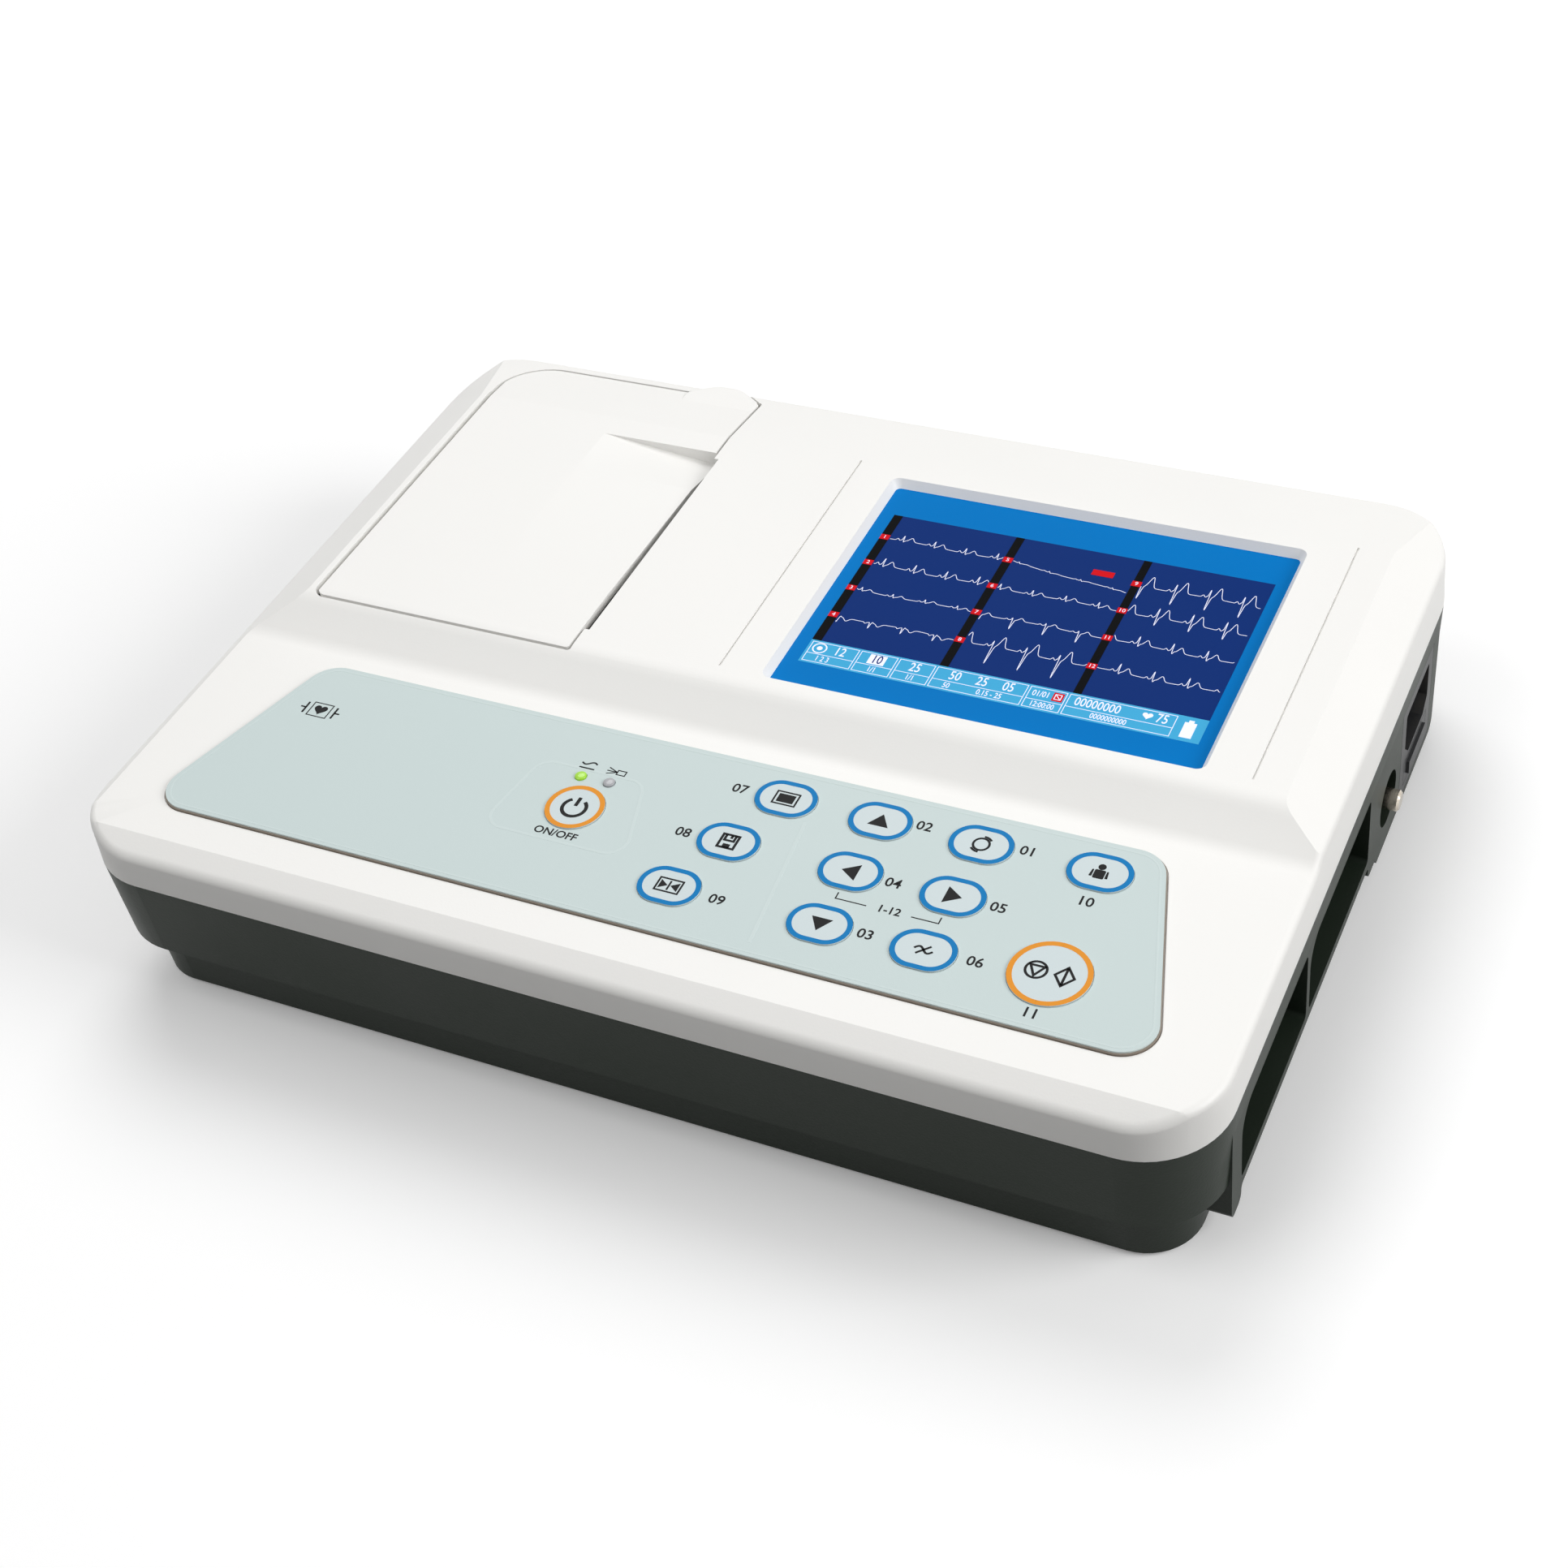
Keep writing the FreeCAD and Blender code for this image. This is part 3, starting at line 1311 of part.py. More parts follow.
lower_pieces = [feature("lower_blank", lower_case_blank())]
lower_cuts = [feature("front_bay_room", bay_room(front_bay)), feature("rear_bay_room", bay_room(rear_bay))]

for i, (x, y) in enumerate(boss_spots):
    lower_pieces.append(round_bar(f"lower_boss_{i}", "z", s.boss_radius, (plinth_bottom, boss_split), (x, y)))
    hole = s.case_screw_radius + s.screw_clearance
    lower_cuts.append(round_bar(f"lower_boss_hole_{i}", "z", hole, (plinth_bottom - 1, boss_split + 1), (x, y)))
    room = s.case_screw_head_radius + s.head_clearance
    lower_cuts.append(round_bar(f"lower_boss_room_{i}", "z", room, (plinth_bottom - 1, screw_seat), (x, y)))

foot_x = half_width - s.foot_inset_across
foot_y = half_depth - s.foot_inset_along
feet = []
for i, (x, y) in enumerate([(-foot_x, -foot_y), (foot_x, -foot_y), (-foot_x, foot_y), (foot_x, foot_y)]):
    span = (0, plinth_bottom + s.foot_seat)
    feet.append(round_bar(f"foot_{i}", "z", s.foot_radius, span, (x, y)))
    seat = (plinth_bottom - 1, plinth_bottom + s.foot_seat)
    lower_cuts.append(round_bar(f"foot_seat_{i}", "z", s.foot_radius, seat, (x, y)))
part(group("foot_group", feet), "feet")

# Boards on standoffs

battery_left = -half_width + s.battery_from_left
battery_x = (battery_left, battery_left + s.battery_length)
main_x = (battery_x[1] + s.main_board_from_battery, bay_back - s.main_board_from_bay)
main_length = main_x[1] - main_x[0]
main_y = (front + s.main_board_from_front, front + s.main_board_from_front + s.main_board_depth)
main_bottom = floor_top + s.main_board_rise
main_top = main_bottom + s.board_thickness
power_right = half_width - s.power_board_from_right
power_x = (power_right - s.power_board_length, power_right)
power_span = (back - s.power_board_from_back - s.power_board_depth, back - s.power_board_from_back)
power_bottom = floor_top + s.power_board_rise
power_top = power_bottom + s.board_thickness
hole_in = s.board_hole_inset
main_columns = [main_x[0] + hole_in, (main_x[0] + main_x[1]) / 2, main_x[1] - hole_in]
main_spots = [(x, y) for x in main_columns for y in (main_y[0] + hole_in, main_y[1] - hole_in)]
power_columns = (power_x[0] + hole_in, power_x[1] - hole_in)
power_spots = [(x, y) for x in power_columns for y in (power_span[0] + hole_in, power_span[1] - hole_in)]

boards = {
    "main_board": (main_x, main_y, main_bottom, main_top, main_spots),
    "power_board": (power_x, power_span, power_bottom, power_top, power_spots),
}
screw_tops = [(x, y, chassis_top) for x, y in chassis_spots]
for name, (x, y, low, high, spots) in boards.items():
    holes = []
    for i, spot in enumerate(spots):
        lower_pieces.append(
            round_bar(f"{name}_standoff_{i}", "z", s.standoff_radius, (floor_top - 0.5, low), spot)
        )
        hole = s.board_screw_radius + s.screw_clearance
        holes.append(round_bar(f"{name}_hole_{i}", "z", hole, (low - 1, high + 1), spot))
        screw_tops.append((spot[0], spot[1], high))
    part(cut(f"{name}_body", box(f"{name}_sheet", x, y, (low, high)), holes), name)

screws = []
for i, (x, y, seat) in enumerate(screw_tops):
    shank = round_bar(f"screw_shank_{i}", "z", s.board_screw_radius, (seat - s.board_screw_length, seat), (x, y))
    head = round_bar(
        f"screw_head_{i}", "z", s.board_screw_head_radius, (seat, seat + s.board_screw_head_height), (x, y)
    )
    screws.append(fuse(f"screw_{i}", [shank, head]))
    span = (seat - s.board_screw_length, seat)
    lower_cuts.append(round_bar(f"screw_hole_{i}", "z", s.board_screw_radius, span, (x, y)))
for i, (x, y) in enumerate(display_spots):
    shank = round_bar(f"ear_shank_{i}", "z", s.board_screw_radius, (ear_bottom, display_screw_end), (x, y))
    head = round_bar(
        f"ear_head_{i}", "z", s.board_screw_head_radius, (ear_bottom - s.board_screw_head_height, ear_bottom), (x, y)
    )
    screws.append(fuse(f"ear_screw_{i}", [shank, head]))
part(group("board_screw_group", screws), "board_screws")

case_screws = []
for i, (x, y) in enumerate(boss_spots):
    shank = round_bar(
        f"case_shank_{i}", "z", s.case_screw_radius, (screw_seat, boss_split + s.case_screw_bite), (x, y)
    )
    span = (screw_seat - s.case_screw_head_height, screw_seat)
    head = round_bar(f"case_head_{i}", "z", s.case_screw_head_radius, span, (x, y))
    case_screws.append(fuse(f"case_screw_{i}", [shank, head]))
part(group("case_screw_group", case_screws), "case_screws")

# Battery in a walled compartment, closed from below by a hooked cover

battery_y = (front + s.battery_from_front, front + s.battery_from_front + s.battery_width)
battery_top = floor_top + s.battery_height
part(box("battery_body", battery_x, battery_y, (floor_top, battery_top)), "battery_pack")
room_x = grown(battery_x, s.battery_clearance)
room_y = grown(battery_y, s.battery_clearance)
room_top = battery_top + s.battery_clearance
lower_pieces.append(
    box(
        "battery_shell",
        grown(room_x, s.battery_wall),
        grown(room_y, s.battery_wall),
        (floor_top - 0.5, room_top + s.battery_roof),
    )
)
lower_cuts.append(box("battery_room", room_x, room_y, (plinth_bottom - 1, room_top)))
recess_x = grown(room_x, s.battery_cover_lip)
recess_y = grown(room_y, s.battery_cover_lip)
cover_top = plinth_bottom + s.battery_cover_thickness
lower_cuts.append(box("cover_recess", recess_x, recess_y, (plinth_bottom - 1, cover_top)))
cover_pieces = [
    box(
        "cover_plate",
        grown(recess_x, -s.battery_cover_gap),
        grown(recess_y, -s.battery_cover_gap),
        (plinth_bottom, cover_top),
    ),
    box(
        "cover_pad",
        grown(room_x, -s.battery_clearance),
        grown(room_y, -s.battery_cover_gap),
        (cover_top, floor_top),
    ),
]
battery_middle = (battery_y[0] + battery_y[1]) / 2
hook_top = floor_top + s.cover_hook_height
for i, share in enumerate((-1, 1)):
    middle = battery_middle + s.battery_width * (share / 4)
    along = (middle - s.cover_hook_width / 2, middle + s.cover_hook_width / 2)
    reach = s.cover_hook_reach
    edges = {
        "left": (room_x[0] + 0.1, room_x[0] + 0.1 + s.cover_hook_wall, room_x[0] - reach, room_x[0] + 0.1),
        "right": (room_x[1] - 0.1 - s.cover_hook_wall, room_x[1] - 0.1, room_x[1] - 0.1, room_x[1] + reach),
    }
    for side, (near, far, tip_low, tip_high) in edges.items():
        cover_pieces.append(box(f"hook_{side}_{i}", (near, far), along, (cover_top - 0.2, hook_top)))
        catch = (floor_top + 0.05, hook_top)
        cover_pieces.append(box(f"hook_tip_{side}_{i}", (tip_low, tip_high), along, catch))
        room = (tip_low - 0.2, tip_high + 0.2)
        lower_cuts.append(box(f"hook_room_{side}_{i}", room, grown(along, 0.2), (floor_top, hook_top + 0.5)))
part(fuse("cover_body", cover_pieces), "battery_cover")

# Earth pin in its round recess

stud_floor = bay_face - s.stud_recess_depth
stud_inner = stud_floor - s.stud_wall
stud_axis = (stud_y, s.stud_height)
stud_room = (stud_y - s.stud_recess_radius - 2.0, stud_y + s.stud_recess_radius + 2.0)
service_low = s.housing_bottom + s.floor_wall + 0.2
service_high = inlet_z + s.inlet_flange / 2 - 0.5
lower_cuts.append(round_bar("stud_recess", "x", s.stud_recess_radius, (stud_floor, half_width + 5), stud_axis))
lower_cuts.append(box("stud_room", (bay_inner - 5, stud_inner), stud_room, (service_low, service_high)))
shank_radius = s.stud_radius - 0.5
lower_cuts.append(round_bar("stud_hole", "x", shank_radius, (stud_inner - 1, stud_floor + 1), stud_axis))
stud_tip = half_width + s.stud_stand
shank_end = stud_inner - s.stud_nut_height - 2.0
stud_pieces = [
    round_bar("stud_shank", "x", shank_radius, (shank_end, stud_floor), stud_axis),
    round_bar("stud_collar", "x", s.stud_collar_radius, (stud_floor, stud_floor + s.stud_collar_height), stud_axis),
    round_bar("stud_pin", "x", s.stud_radius, (stud_floor, stud_tip - 0.6), stud_axis),
    round_bar("stud_tip", "x", s.stud_radius, (stud_tip - 0.6, stud_tip), stud_axis, top_radius=s.stud_radius - 0.6),
]
part(fuse("stud_body", stud_pieces), "earth_pin")
nut = doc.addObject("Part::Prism", "nut_hexagon")
nut.Polygon = 6
bind(nut, "Circumradius", s.stud_nut_radius)
bind(nut, "Height", s.stud_nut_height)
nut.Placement = Placement(Vector(), AXIS_TURNS["x"])
place(nut, stud_inner - s.stud_nut_height, *stud_axis)
nut_past = (stud_inner - s.stud_nut_height - 1, stud_inner + 1)
part(cut("nut_body", nut, [round_bar("nut_bore", "x", shank_radius, nut_past, stud_axis)]), "earth_nut")

# Mains inlet with its blades and fuse drawer

flange_half = s.inlet_flange / 2
flange_back = bay_face - s.inlet_flange_thickness
body_back = flange_back - s.inlet_body_depth
flange_y = (inlet_y - flange_half, inlet_y + flange_half)
flange_z = (inlet_z - flange_half, inlet_z + flange_half)
body_y = (inlet_y - s.inlet_body_width / 2, inlet_y + s.inlet_body_width / 2)
body_z = (inlet_z - s.inlet_body_height / 2, inlet_z + s.inlet_body_height / 2)
fit = s.inlet_fit
lower_cuts.append(
    box("inlet_seat", (flange_back, half_width + 5), grown(flange_y, fit), grown(flange_z, fit))
)
panel_back = flange_back - s.inlet_flange_thickness
lower_cuts.append(
    box("inlet_opening", (panel_back - 1, flange_back + 1), grown(body_y, fit), grown(body_z, fit))
)
inlet_room = grown(flange_y, 0.2)
lower_cuts.append(box("inlet_room", (bay_inner - 5, panel_back), inlet_room, (service_low, service_high)))

socket_y = (inlet_y - s.socket_width / 2, inlet_y + s.socket_width / 2)
socket_high = body_z[1] - s.socket_top_margin
socket_low = socket_high - s.socket_height
socket_floor = bay_face - s.socket_depth
socket_slant = s.socket_height / 4
socket_corners = [
    (socket_y[0] + socket_slant, socket_low, 1.0),
    (socket_y[1] - socket_slant, socket_low, 1.0),
    (socket_y[1], socket_low + socket_slant, 1.0),
    (socket_y[1], socket_high, 1.0),
    (socket_y[0], socket_high, 1.0),
    (socket_y[0], socket_low + socket_slant, 1.0),
]
drawer_y = (inlet_y - s.drawer_width / 2, inlet_y + s.drawer_width / 2)
drawer_low = body_z[0] + s.drawer_bottom_margin
drawer_z = (drawer_low, drawer_low + s.drawer_height)
drawer_back = bay_face - s.drawer_depth
inlet_pieces = [
    box("inlet_flange_plate", (flange_back, bay_face), flange_y, flange_z),
    box("inlet_block", (body_back, flange_back), body_y, body_z),
]
gap = s.drawer_clearance
inlet_cuts = [
    feature("socket_room", prism(socket_corners, "yz", socket_floor, bay_face + 1)),
    box("drawer_room", (drawer_back - gap, bay_face + 1), grown(drawer_y, gap), grown(drawer_z, gap)),
]
socket_middle = (socket_low + socket_high) / 2
blade_rises = [(-s.blade_spacing / 2, -s.earth_blade_rise / 2), (dim(0), s.earth_blade_rise / 2),
               (s.blade_spacing / 2, -s.earth_blade_rise / 2)]
blades = []
for i, (shift, rise) in enumerate(blade_rises):
    y, z = inlet_y + shift, socket_middle + rise
    across = (y - s.blade_thickness / 2, y + s.blade_thickness / 2)
    tall = (z - s.blade_width / 2, z + s.blade_width / 2)
    span = (body_back - s.blade_tail, socket_floor + s.blade_length)
    blades.append(box(f"blade_{i}", span, across, tall))
    inlet_cuts.append(box(f"blade_slot_{i}", (body_back - 1, socket_floor + 1), across, tall))
part(cut("inlet_body", fuse("inlet_blank", inlet_pieces), inlet_cuts), "mains_inlet")
part(group("blade_group", blades), "inlet_pins")

drawer_pieces = [
    box("drawer_block", (drawer_back, bay_face), drawer_y, drawer_z),
    box(
        "drawer_lip",
        (bay_face, bay_face + s.drawer_grip),
        grown(drawer_y, -3.0),
        (drawer_z[0] + 2.0, drawer_z[1] - 2.0),
    ),
]
fuse_z = drawer_z[0] + s.drawer_floor + s.fuse_radius
fuse_x = (drawer_back + 1.0, drawer_back + 1.0 + s.fuse_length)
drawer_cuts = []
fuses = []
for i, share in enumerate((-1, 1)):
    y = inlet_y + s.fuse_spacing * (share / 2)
    across = grown((y - s.fuse_radius, y + s.fuse_radius), 0.1)
    room = (drawer_z[0] + s.drawer_floor, drawer_z[1] + 1)
    drawer_cuts.append(box(f"fuse_room_{i}", fuse_x, across, room))
    fuses.append(round_bar(f"fuse_{i}", "x", s.fuse_radius, fuse_x, (y, fuse_z)))
part(cut("drawer_body", fuse("drawer_blank", drawer_pieces), drawer_cuts), "fuse_drawer")
part(group("fuse_group", fuses), "fuses")

# Patient and serial sockets: a metal shell with a trapezium collar, round a moulded insert

connector_z = bay_floor + s.connector_axis_rise
flange_front = bay_inner
flange_rear = flange_front - s.connector_flange_thickness
collar_tip = flange_front + s.connector_collar_depth
patient_y = (front_bay[0] + front_bay[1]) / 2
serial_y = rear_bay[0] + s.serial_from_rib
usb_y = rear_bay[0] + s.usb_from_rib
COLLAR_LEAN = 1.2


def collar_corners(y, width, inset):
    wide = float(width) / 2 - float(inset)
    tall = float(s.connector_collar_height) / 2 - float(inset)
    middle, level = float(y), float(connector_z)
    narrow = wide - COLLAR_LEAN
    radius = 2.2 - float(inset)
    return [
        (middle - narrow, level - tall, radius),
        (middle + narrow, level - tall, radius),
        (middle + wide, level + tall, radius),
        (middle - wide, level + tall, radius),
    ]


inserts = []
posts = []
connectors = {
    "patient_socket": (patient_y, s.patient_flange_width, s.patient_collar_width, 8, s.patient_post_spacing),
    "serial_socket": (serial_y, s.serial_flange_width, s.serial_collar_width, 5, s.serial_post_spacing),
}
for name, (y, flange_width, collar_width, contacts, post_spacing) in connectors.items():
    tall = (connector_z - s.connector_flange_height / 2, connector_z + s.connector_flange_height / 2)
    along = (y - flange_width / 2, y + flange_width / 2)
    plate = box(f"{name}_plate", (flange_rear, flange_front), along, tall)
    collar = feature(f"{name}_collar", prism(collar_corners(y, collar_width, 0), "yz", flange_rear, collar_tip))
    hollow = feature(
        f"{name}_hollow",
        prism(collar_corners(y, collar_width, s.connector_wall), "yz", flange_rear - 1, collar_tip + 1),
    )
    shell_cuts = [hollow]
    for i, share in enumerate((-1, 1)):
        spot = (y + post_spacing * (share / 2), connector_z)
        span = (flange_rear - 3.0, bay_back)
        shank = round_bar(f"{name}_post_shank_{i}", "x", s.jack_post_shank, span, spot)
        head = round_bar(
            f"{name}_post_head_{i}", "x", s.jack_post_radius, (bay_back, bay_back + s.jack_post_height), spot
        )
        mouth = bay_back + s.jack_post_height
        thread_span = (mouth - s.jack_thread_depth, mouth + 1)
        thread = round_bar(f"{name}_post_thread_{i}", "x", s.jack_thread_radius, thread_span, spot)
        posts.append(cut(f"{name}_post_{i}", fuse(f"{name}_post_blank_{i}", [shank, head]), [thread]))
        past = (flange_rear - 1, bay_back + 1)
        shell_cuts.append(round_bar(f"{name}_plate_hole_{i}", "x", s.jack_post_shank, past, spot))
        lower_cuts.append(round_bar(f"{name}_wall_hole_{i}", "x", s.jack_post_shank, past, spot))
    part(cut(f"{name}_shell", fuse(f"{name}_blank", [plate, collar]), shell_cuts), name)
    room = prism(collar_corners(y, collar_width, -s.connector_clearance), "yz", bay_inner - 1, bay_back + 1)
    lower_cuts.append(feature(f"{name}_wall_opening", room))
    core_front = collar_tip - 0.5
    core = feature(
        f"{name}_core", prism(collar_corners(y, collar_width, s.connector_wall), "yz", flange_rear, core_front)
    )
    rear_half = collar_width / 2
    rear = box(
        f"{name}_rear",
        (flange_rear - s.connector_body_depth, flange_rear),
        (y - rear_half, y + rear_half),
        (main_top, tall[1] - 1.0),
    )
    holes = []
    for line, count in enumerate((int(contacts), int(contacts) - 1)):
        z = connector_z + s.contact_row_gap * (0.5 - line)
        for i in range(count):
            spot = (y + s.contact_pitch * (i - (count - 1) / 2), z)
            span = (core_front - s.contact_depth, core_front + 1)
            holes.append(round_bar(f"{name}_contact_{line}_{i}", "x", s.contact_radius, span, spot))
    inserts.append(cut(f"{name}_insert", fuse(f"{name}_insert_blank", [core, rear]), holes))
part(group("insert_group", inserts), "socket_inserts")
part(group("post_group", posts), "jack_posts")

usb_half = s.usb_width / 2
usb_x = (bay_back + 1.5 - s.usb_depth, bay_back + 1.5)
usb_span = (usb_y - usb_half, usb_y + usb_half)
usb_z = (main_top, main_top + s.usb_height)
usb_wall = s.connector_wall
usb_shell = box("usb_shell", usb_x, usb_span, usb_z)
usb_hollow = box(
    "usb_hollow", (usb_x[0] + 3.0, usb_x[1] + 1), grown(usb_span, -usb_wall), grown(usb_z, -usb_wall)
)
usb_middle = usb_z[0] + s.usb_height * 0.6
usb_tongue = box(
    "usb_tongue", (usb_x[0] + 2.0, usb_x[1] - 1.0), grown(usb_span, -1.6), (usb_middle, usb_middle + 1.2)
)
part(fuse("usb_body", [cut("usb_can", usb_shell, [usb_hollow]), usb_tongue]), "usb_socket")
lower_cuts.append(
    box(
        "usb_wall_opening",
        (bay_inner - 1, bay_back + 1),
        grown(usb_span, s.connector_clearance),
        grown(usb_z, s.connector_clearance),
    )
)

part(cut("lower_body", fuse("lower_fused", lower_pieces), lower_cuts), "bottom_case")

# Parts on the boards: chips on the main board, mains parts on the power board

CHIPS = [(0.12, 0.30, 14.0, 14.0, 1.4), (0.32, 0.62, 22.0, 22.0, 2.0), (0.55, 0.35, 18.0, 10.0, 1.8),
         (0.72, 0.70, 12.0, 12.0, 1.4), (0.20, 0.75, 10.0, 24.0, 2.5)]
MAINS_PARTS = [(0.22, 0.45, 32.0, 34.0, 26.0), (0.62, 0.30, 12.0, 20.0, 18.0), (0.62, 0.75, 24.0, 4.0, 22.0)]
main_deep = main_y[1] - main_y[0]
chips = []
for i, (along, deep, long, wide, tall) in enumerate(CHIPS):
    x, y = main_x[0] + main_length * along, main_y[0] + s.main_board_depth * deep
    chips.append(
        box(f"chip_{i}", (x - long / 2, x + long / 2), (y - wide / 2, y + wide / 2), (main_top, main_top + tall))
    )
for i, (along, deep, long, wide, tall) in enumerate(MAINS_PARTS):
    x, y = power_x[0] + s.power_board_length * along, power_span[0] + s.power_board_depth * deep
    chips.append(
        box(f"mains_part_{i}", (x - long / 2, x + long / 2), (y - wide / 2, y + wide / 2), (power_top, power_top + tall))
    )
for i, share in enumerate((0.80, 0.92)):
    spot = (power_x[0] + s.power_board_length * share, power_span[0] + s.power_board_depth * 0.5)
    tall = (power_top, power_top + s.capacitor_height)
    chips.append(round_bar(f"capacitor_{i}", "z", s.capacitor_radius, tall, spot))
part(group("board_part_group", chips), "board_parts")

buzzer_spot = (main_x[0] + main_length * 0.45, main_y[0] + s.main_board_depth * 0.15)
buzzer_tall = (main_top, main_top + s.buzzer_height)
part(tube("buzzer_body", "z", s.buzzer_radius, s.buzzer_bore, buzzer_tall, buzzer_spot), "buzzer")


# Write one file for each sub-part

doc.recompute()
for obj in doc.Objects:
    if "Invalid" in obj.State or "Error" in obj.State:
        raise RuntimeError(f"{obj.Name}: {obj.State}")
for obj in subparts:
    if obj.Shape.isNull() or not obj.Shape.isValid():
        raise RuntimeError(f"{obj.Label}: no valid shape")
os.makedirs("parts", exist_ok=True)
for obj in subparts:
    obj.Shape.exportStep(f"parts/{obj.Label}.step")
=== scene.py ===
import math

import bmesh
import bpy
import numpy as np
from mathutils import Matrix, Vector


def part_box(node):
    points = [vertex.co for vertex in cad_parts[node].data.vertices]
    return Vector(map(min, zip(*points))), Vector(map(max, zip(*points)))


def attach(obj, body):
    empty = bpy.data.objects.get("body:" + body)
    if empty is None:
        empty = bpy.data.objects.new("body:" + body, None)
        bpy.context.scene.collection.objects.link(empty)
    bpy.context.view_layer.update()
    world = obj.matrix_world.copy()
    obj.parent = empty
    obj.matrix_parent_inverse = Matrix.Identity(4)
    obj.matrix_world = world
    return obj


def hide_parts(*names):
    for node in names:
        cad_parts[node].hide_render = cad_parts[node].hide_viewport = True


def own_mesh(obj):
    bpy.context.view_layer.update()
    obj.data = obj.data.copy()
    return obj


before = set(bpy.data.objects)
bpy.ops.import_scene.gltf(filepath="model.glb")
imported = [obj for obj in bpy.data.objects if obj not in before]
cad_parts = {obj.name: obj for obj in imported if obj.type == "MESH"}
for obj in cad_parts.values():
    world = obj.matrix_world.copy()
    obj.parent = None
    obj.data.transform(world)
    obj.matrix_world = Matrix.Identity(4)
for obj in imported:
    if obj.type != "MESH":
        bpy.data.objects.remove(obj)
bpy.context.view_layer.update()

# Shapes are in millimetres, and piece() turns them into metres. Lights, floor and materials are in metres.

MM = 0.001
TURN = 2 * math.pi
TINY = 1e-6
INK = 0.03  # thickness of one layer of print
KEY_NODES = [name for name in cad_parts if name.startswith("key_") and name != "key_domes"]


def top_of(node):
    """Height of a node's highest point."""
    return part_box(node)[1][2] / MM


def middle_of(node):
    """Plan position of a node's middle."""
    low, high = np.array(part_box(node))
    return (low[:2] + high[:2]) / 2 / MM


def size_of(node):
    """Width and depth of a node."""
    low, high = np.array(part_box(node))
    return (high[:2] - low[:2]) / MM


# Outlines and paths, as rows of (x, y)


def circle(x, y, radius, count=48, start=0.0, end=TURN):
    """Points on a circle or an arc of it."""
    whole = abs(end - start) >= TURN - TINY
    turn = np.linspace(start, end, count, endpoint=not whole)
    return np.column_stack([x + radius * np.cos(turn), y + radius * np.sin(turn)])


def oval(x, y, width, depth, count=24):
    """A stadium outline: two half circles joined by straight runs."""
    radius, half = depth / 2, (width - depth) / 2
    if half <= TINY:
        return circle(x, y, radius, 2 * count)
    right = circle(x + half, y, radius, count, -math.pi / 2, math.pi / 2)
    left = circle(x - half, y, radius, count, math.pi / 2, 3 * math.pi / 2)
    return np.vstack([right, left])


def rectangle(x0, x1, y0, y1):
    """The four corners of a rectangle, anticlockwise."""
    return np.array([(x0, y0), (x1, y0), (x1, y1), (x0, y1)], float)


def around(x, y, half_width, half_depth):
    """A rectangle about its middle."""
    return rectangle(x - half_width, x + half_width, y - half_depth, y + half_depth)


def rounded(corners, radius, count=6):
    """A polygon whose corners are cut by arcs: points on the tangent circle of each corner."""
    corners = np.asarray(corners, float)
    share = np.linspace(0, 1, count)[:, None]
    out = []
    for i, here in enumerate(corners):
        before, after = corners[i - 1] - here, corners[(i + 1) % len(corners)] - here
        before, after = before / np.linalg.norm(before), after / np.linalg.norm(after)
        half = math.acos(np.clip(before @ after, -1, 1)) / 2
        inward = (before + after) / np.linalg.norm(before + after)
        centre = here + inward * radius / math.sin(half)
        reach = radius / math.tan(half)
        start, end = here + before * reach - centre, here + after * reach - centre
        arc = start * (1 - share) + end * share
        out.append(centre + arc / np.linalg.norm(arc, axis=1, keepdims=True) * radius)
    return np.vstack(out)


def turned(points, degrees):
    """Points turned anticlockwise about the origin."""
    angle = math.radians(degrees)
    spin = np.array([[math.cos(angle), math.sin(angle)], [-math.sin(angle), math.cos(angle)]])
    return np.asarray(points, float) @ spin


def one_wave(half, height, count):
    """One whole sine wave about the origin, half its length to each side."""
    run = np.linspace(-half, half, count)
    return np.column_stack([run, height * np.sin(run * math.pi / half)])


def heart(x, y, half, count=40):
    """A heart, half its width to each side: the cube of a sine across, a row of four cosines up."""
    turn = np.linspace(0, TURN, count, endpoint=False)
    across = 16 * np.sin(turn) ** 3
    up = 13 * np.cos(turn) - 5 * np.cos(2 * turn) - 2 * np.cos(3 * turn) - np.cos(4 * turn)
    return np.column_stack([across, up]) / 16 * half + np.array([x, y])


# Shapes. Each returns (points, faces), with the faces pointing outwards.


def carried(ring, closed=False):
    """A closed section carried along a path: ring is a grid of path steps by section corners by 3."""
    steps, corners = ring.shape[:2]
    index = np.arange(steps * corners).reshape(steps, corners)
    ahead = np.roll(index, -1, axis=0)
    here = index if closed else index[:-1]
    there = ahead if closed else ahead[:-1]
    quads = np.stack([here, there, np.roll(there, -1, 1), np.roll(here, -1, 1)], -1).reshape(-1, 4)
    faces = quads.tolist()
    if not closed:
        faces += [index[0].tolist(), index[-1][::-1].tolist()]
    return ring.reshape(-1, 3), faces


LEAST_MITER = 0.5  # keeps a sharp bend from growing a long point


